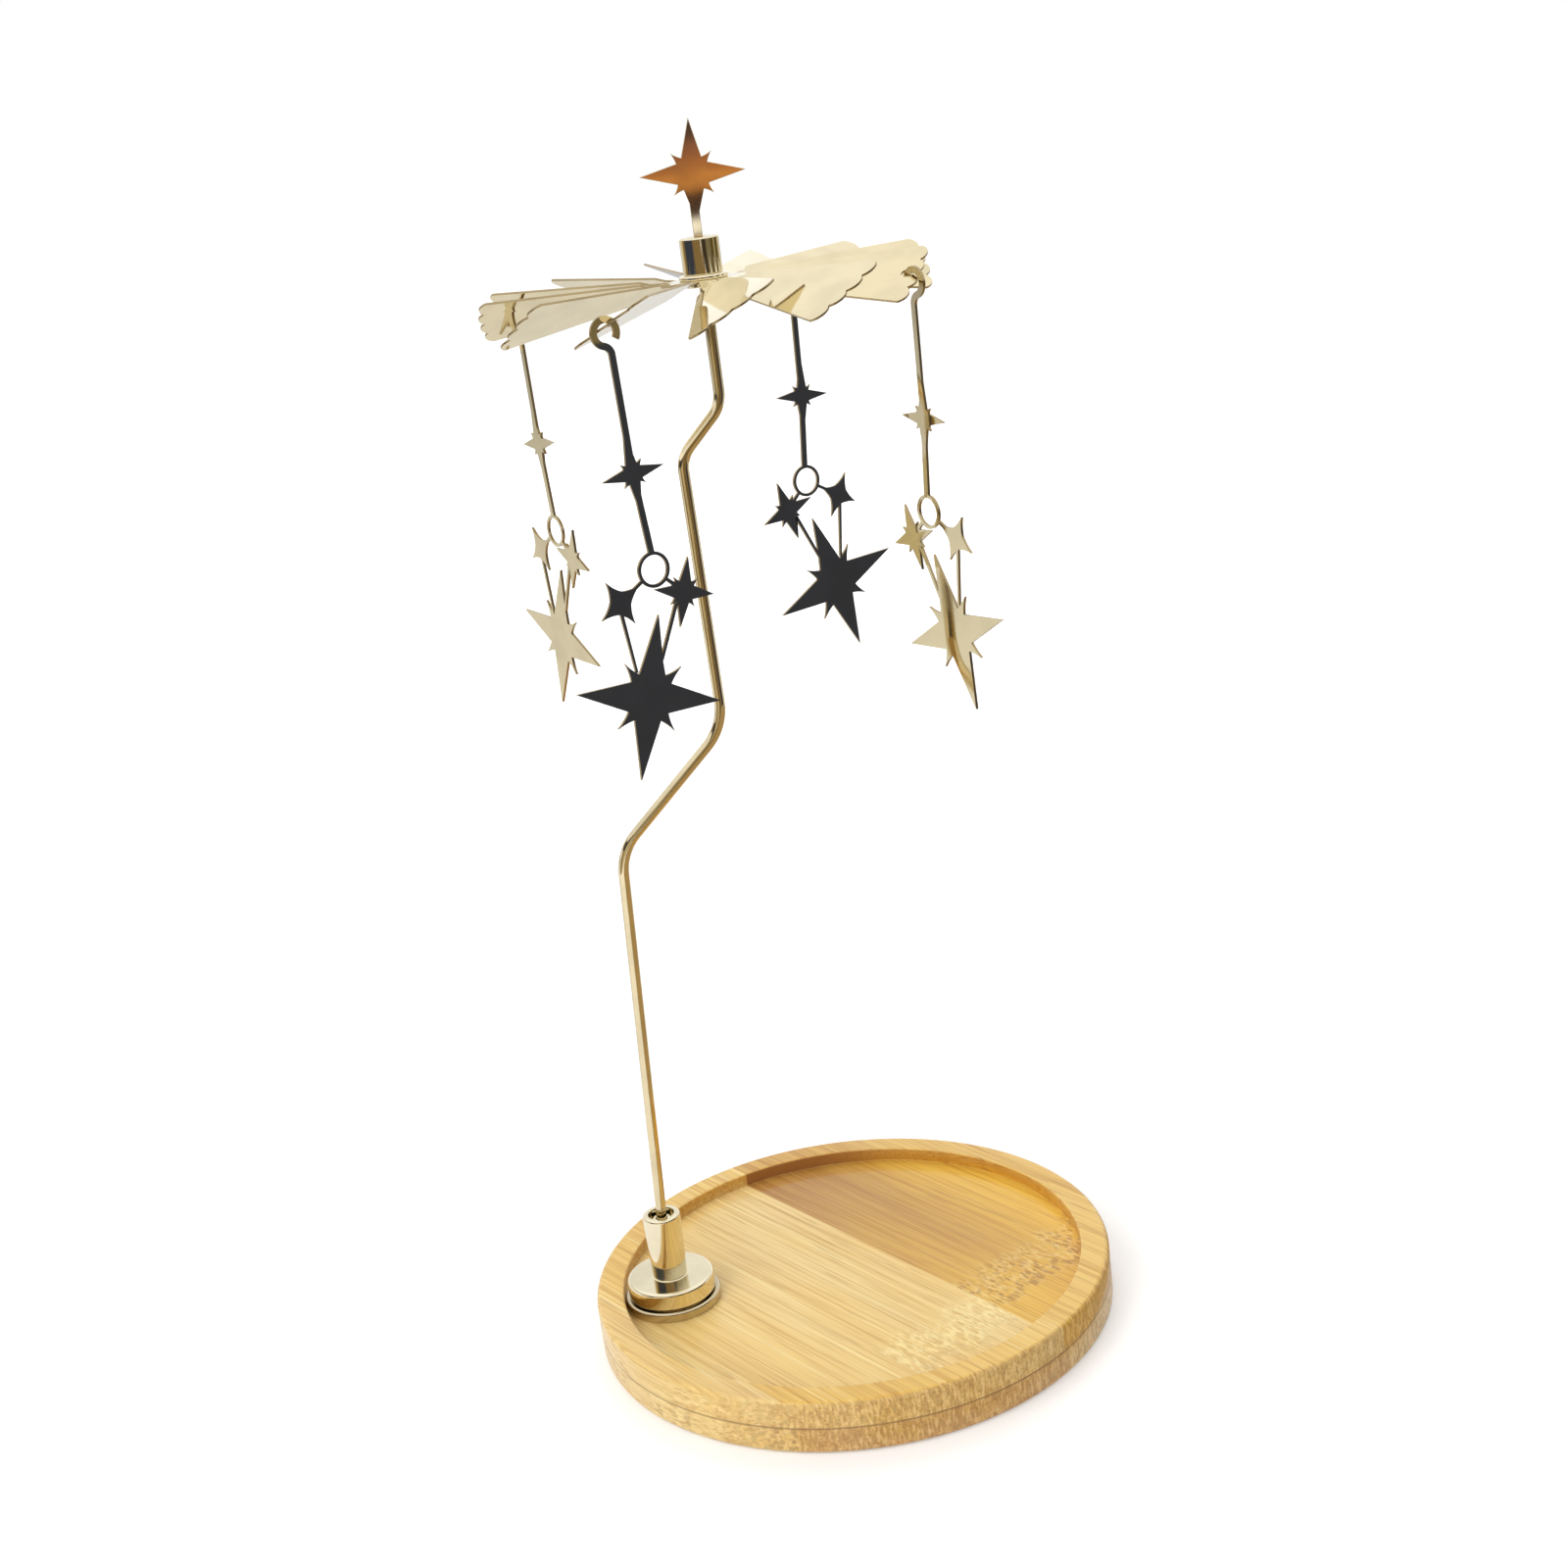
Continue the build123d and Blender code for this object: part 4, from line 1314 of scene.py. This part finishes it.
def sweep(name, points, first, last, steps):
    """Sweeps a chain of edges round the carousel, from its first bearing to its last."""
    thing = draw_chain(name, points)
    bpy.ops.mesh.spin(steps=steps, angle=-radians(last - first), center=(0, 0, 0), axis=(0, 0, 1))
    bpy.ops.object.mode_set(mode="OBJECT")
    return thing


# %% Tones of the drapes
NIGHT = rgb(0.045, 0.052, 0.085)
UMBER = rgb(0.05, 0.038, 0.024)
OLIVE = rgb(0.12, 0.088, 0.025)
SMOKE = rgb(0.23, 0.19, 0.11)
AMBER = rgb(0.42, 0.29, 0.12)
OCHRE = rgb(0.25, 0.17, 0.07)
SAND = rgb(0.66, 0.55, 0.36)
LOW_FOLDS = [
    (-180, WHITE),
    (-168, SAND),
    (-150, UMBER),
    (-138, SAND),
    (-112, SAND),
    (-100, UMBER),
    (-90, AMBER),
    (-76, UMBER),
    (-62, AMBER),
    (-50, NIGHT),
    (-14, NIGHT),
    (-4, AMBER),
    (10, WHITE),
]
HIGH_FOLDS = [
    (-250, WHITE),
    (-208, SAND),
    (-202, OCHRE),
    (-192, OCHRE),
    (-184, NIGHT),
    (-140, NIGHT),
    (-128, OCHRE),
    (-86, OCHRE),
    (-77, UMBER),
    (-62, UMBER),
    (-55, SMOKE),
    (-34, SMOKE),
    (-26, OLIVE),
    (-10, OLIVE),
    (-4, SAND),
    (2, OLIVE),
    (20, OLIVE),
    (34, SAND),
    (60, WHITE),
]
print("folds in the drapes:", len(LOW_FOLDS), "and", len(HIGH_FOLDS))

# %% Striped drapes
DRAPE_RADIUS = 0.38
DRAPE_STEPS = 64
DRAPE_BOTTOM = 0.0
DRAPE_SEAM = 0.157
DRAPE_TOP = 0.235


def drape(name, low, high, folds):
    """A wall of cloth on an arc round the object, between two heights, with a tone at each bearing."""
    first, last = folds[0][0], folds[-1][0]
    hem = level_direction(first) * DRAPE_RADIUS
    cloth = sweep(name, [hem + UP * low, hem + UP * high], first, last, DRAPE_STEPS)
    graph = Graph(bpy.data.materials.new(name))
    spot = graph.split(graph.place_on_piece())
    from_front = graph.math("ARCTAN2", spot[0], graph.times(spot[1], -1.0))
    share = graph.ramp_share(from_front, radians(first + 90), radians(last + 90))
    tones = graph.blend(share, [((fold - first) / (last - first), tone) for fold, tone in folds])
    only_in_reflections(cloth, show(graph, tones))
    print(name, "with", len(folds), "tones")


drape("low_drape", DRAPE_BOTTOM, DRAPE_SEAM, LOW_FOLDS)
drape("high_drape", DRAPE_SEAM, DRAPE_TOP, HIGH_FOLDS)

# %% Warm card
CARD_SPOT = Vector((20.0, -372.0, 200.0)) * MM
CARD_SIZE = 54.0 * MM
CARD_TONES = [
    (0.00, OCHRE),
    (0.21, OCHRE),
    (0.24, rgb(1.3, 1.3, 1.4)),
    (0.31, rgb(1.3, 1.3, 1.4)),
    (0.34, rgb(0.07, 0.04, 0.03)),
    (0.46, rgb(0.10, 0.05, 0.035)),
    (0.50, rgb(0.66, 0.285, 0.09)),
    (0.56, rgb(0.72, 0.315, 0.10)),
    (0.64, rgb(0.52, 0.21, 0.085)),
    (0.74, rgb(0.35, 0.15, 0.09)),
    (0.85, rgb(0.11, 0.07, 0.062)),
    (1.00, rgb(0.085, 0.065, 0.062)),
]
bpy.ops.object.select_all(action="DESELECT")
bpy.ops.mesh.primitive_plane_add(size=CARD_SIZE, location=CARD_SPOT, rotation=(radians(90), 0, 0))
card = bpy.context.object
card.name = "warm_card"
bpy.ops.object.transform_apply(location=True, rotation=True, scale=True)
card_graph = Graph(bpy.data.materials.new("card_warm"))
height = card_graph.split(card_graph.place_on_piece())[2]
share = card_graph.ramp_share(height, CARD_SPOT.z - CARD_SIZE / 2, CARD_SPOT.z + CARD_SIZE / 2)
only_in_reflections(card, show(card_graph, card_graph.blend(share, CARD_TONES)))
print("card of", len(CARD_TONES), "tones")

# %% Brown mat
MAT_BROWN = rgb(0.50, 0.36, 0.18)
MAT_INSIDE = 0.054
MAT_WIDTH = 0.32
MAT_START = -96.0
MAT_END = 42.0
MAT_STEPS = 48
outward = level_direction(MAT_START)
mat_edge = [outward * MAT_INSIDE, outward * (MAT_INSIDE + MAT_WIDTH)]
mat = sweep("brown_mat", mat_edge, MAT_START, MAT_END, MAT_STEPS)
only_in_reflections(mat, show(Graph(bpy.data.materials.new("mat_brown")), MAT_BROWN))
print("mat reaches", MAT_INSIDE + MAT_WIDTH, "m out")
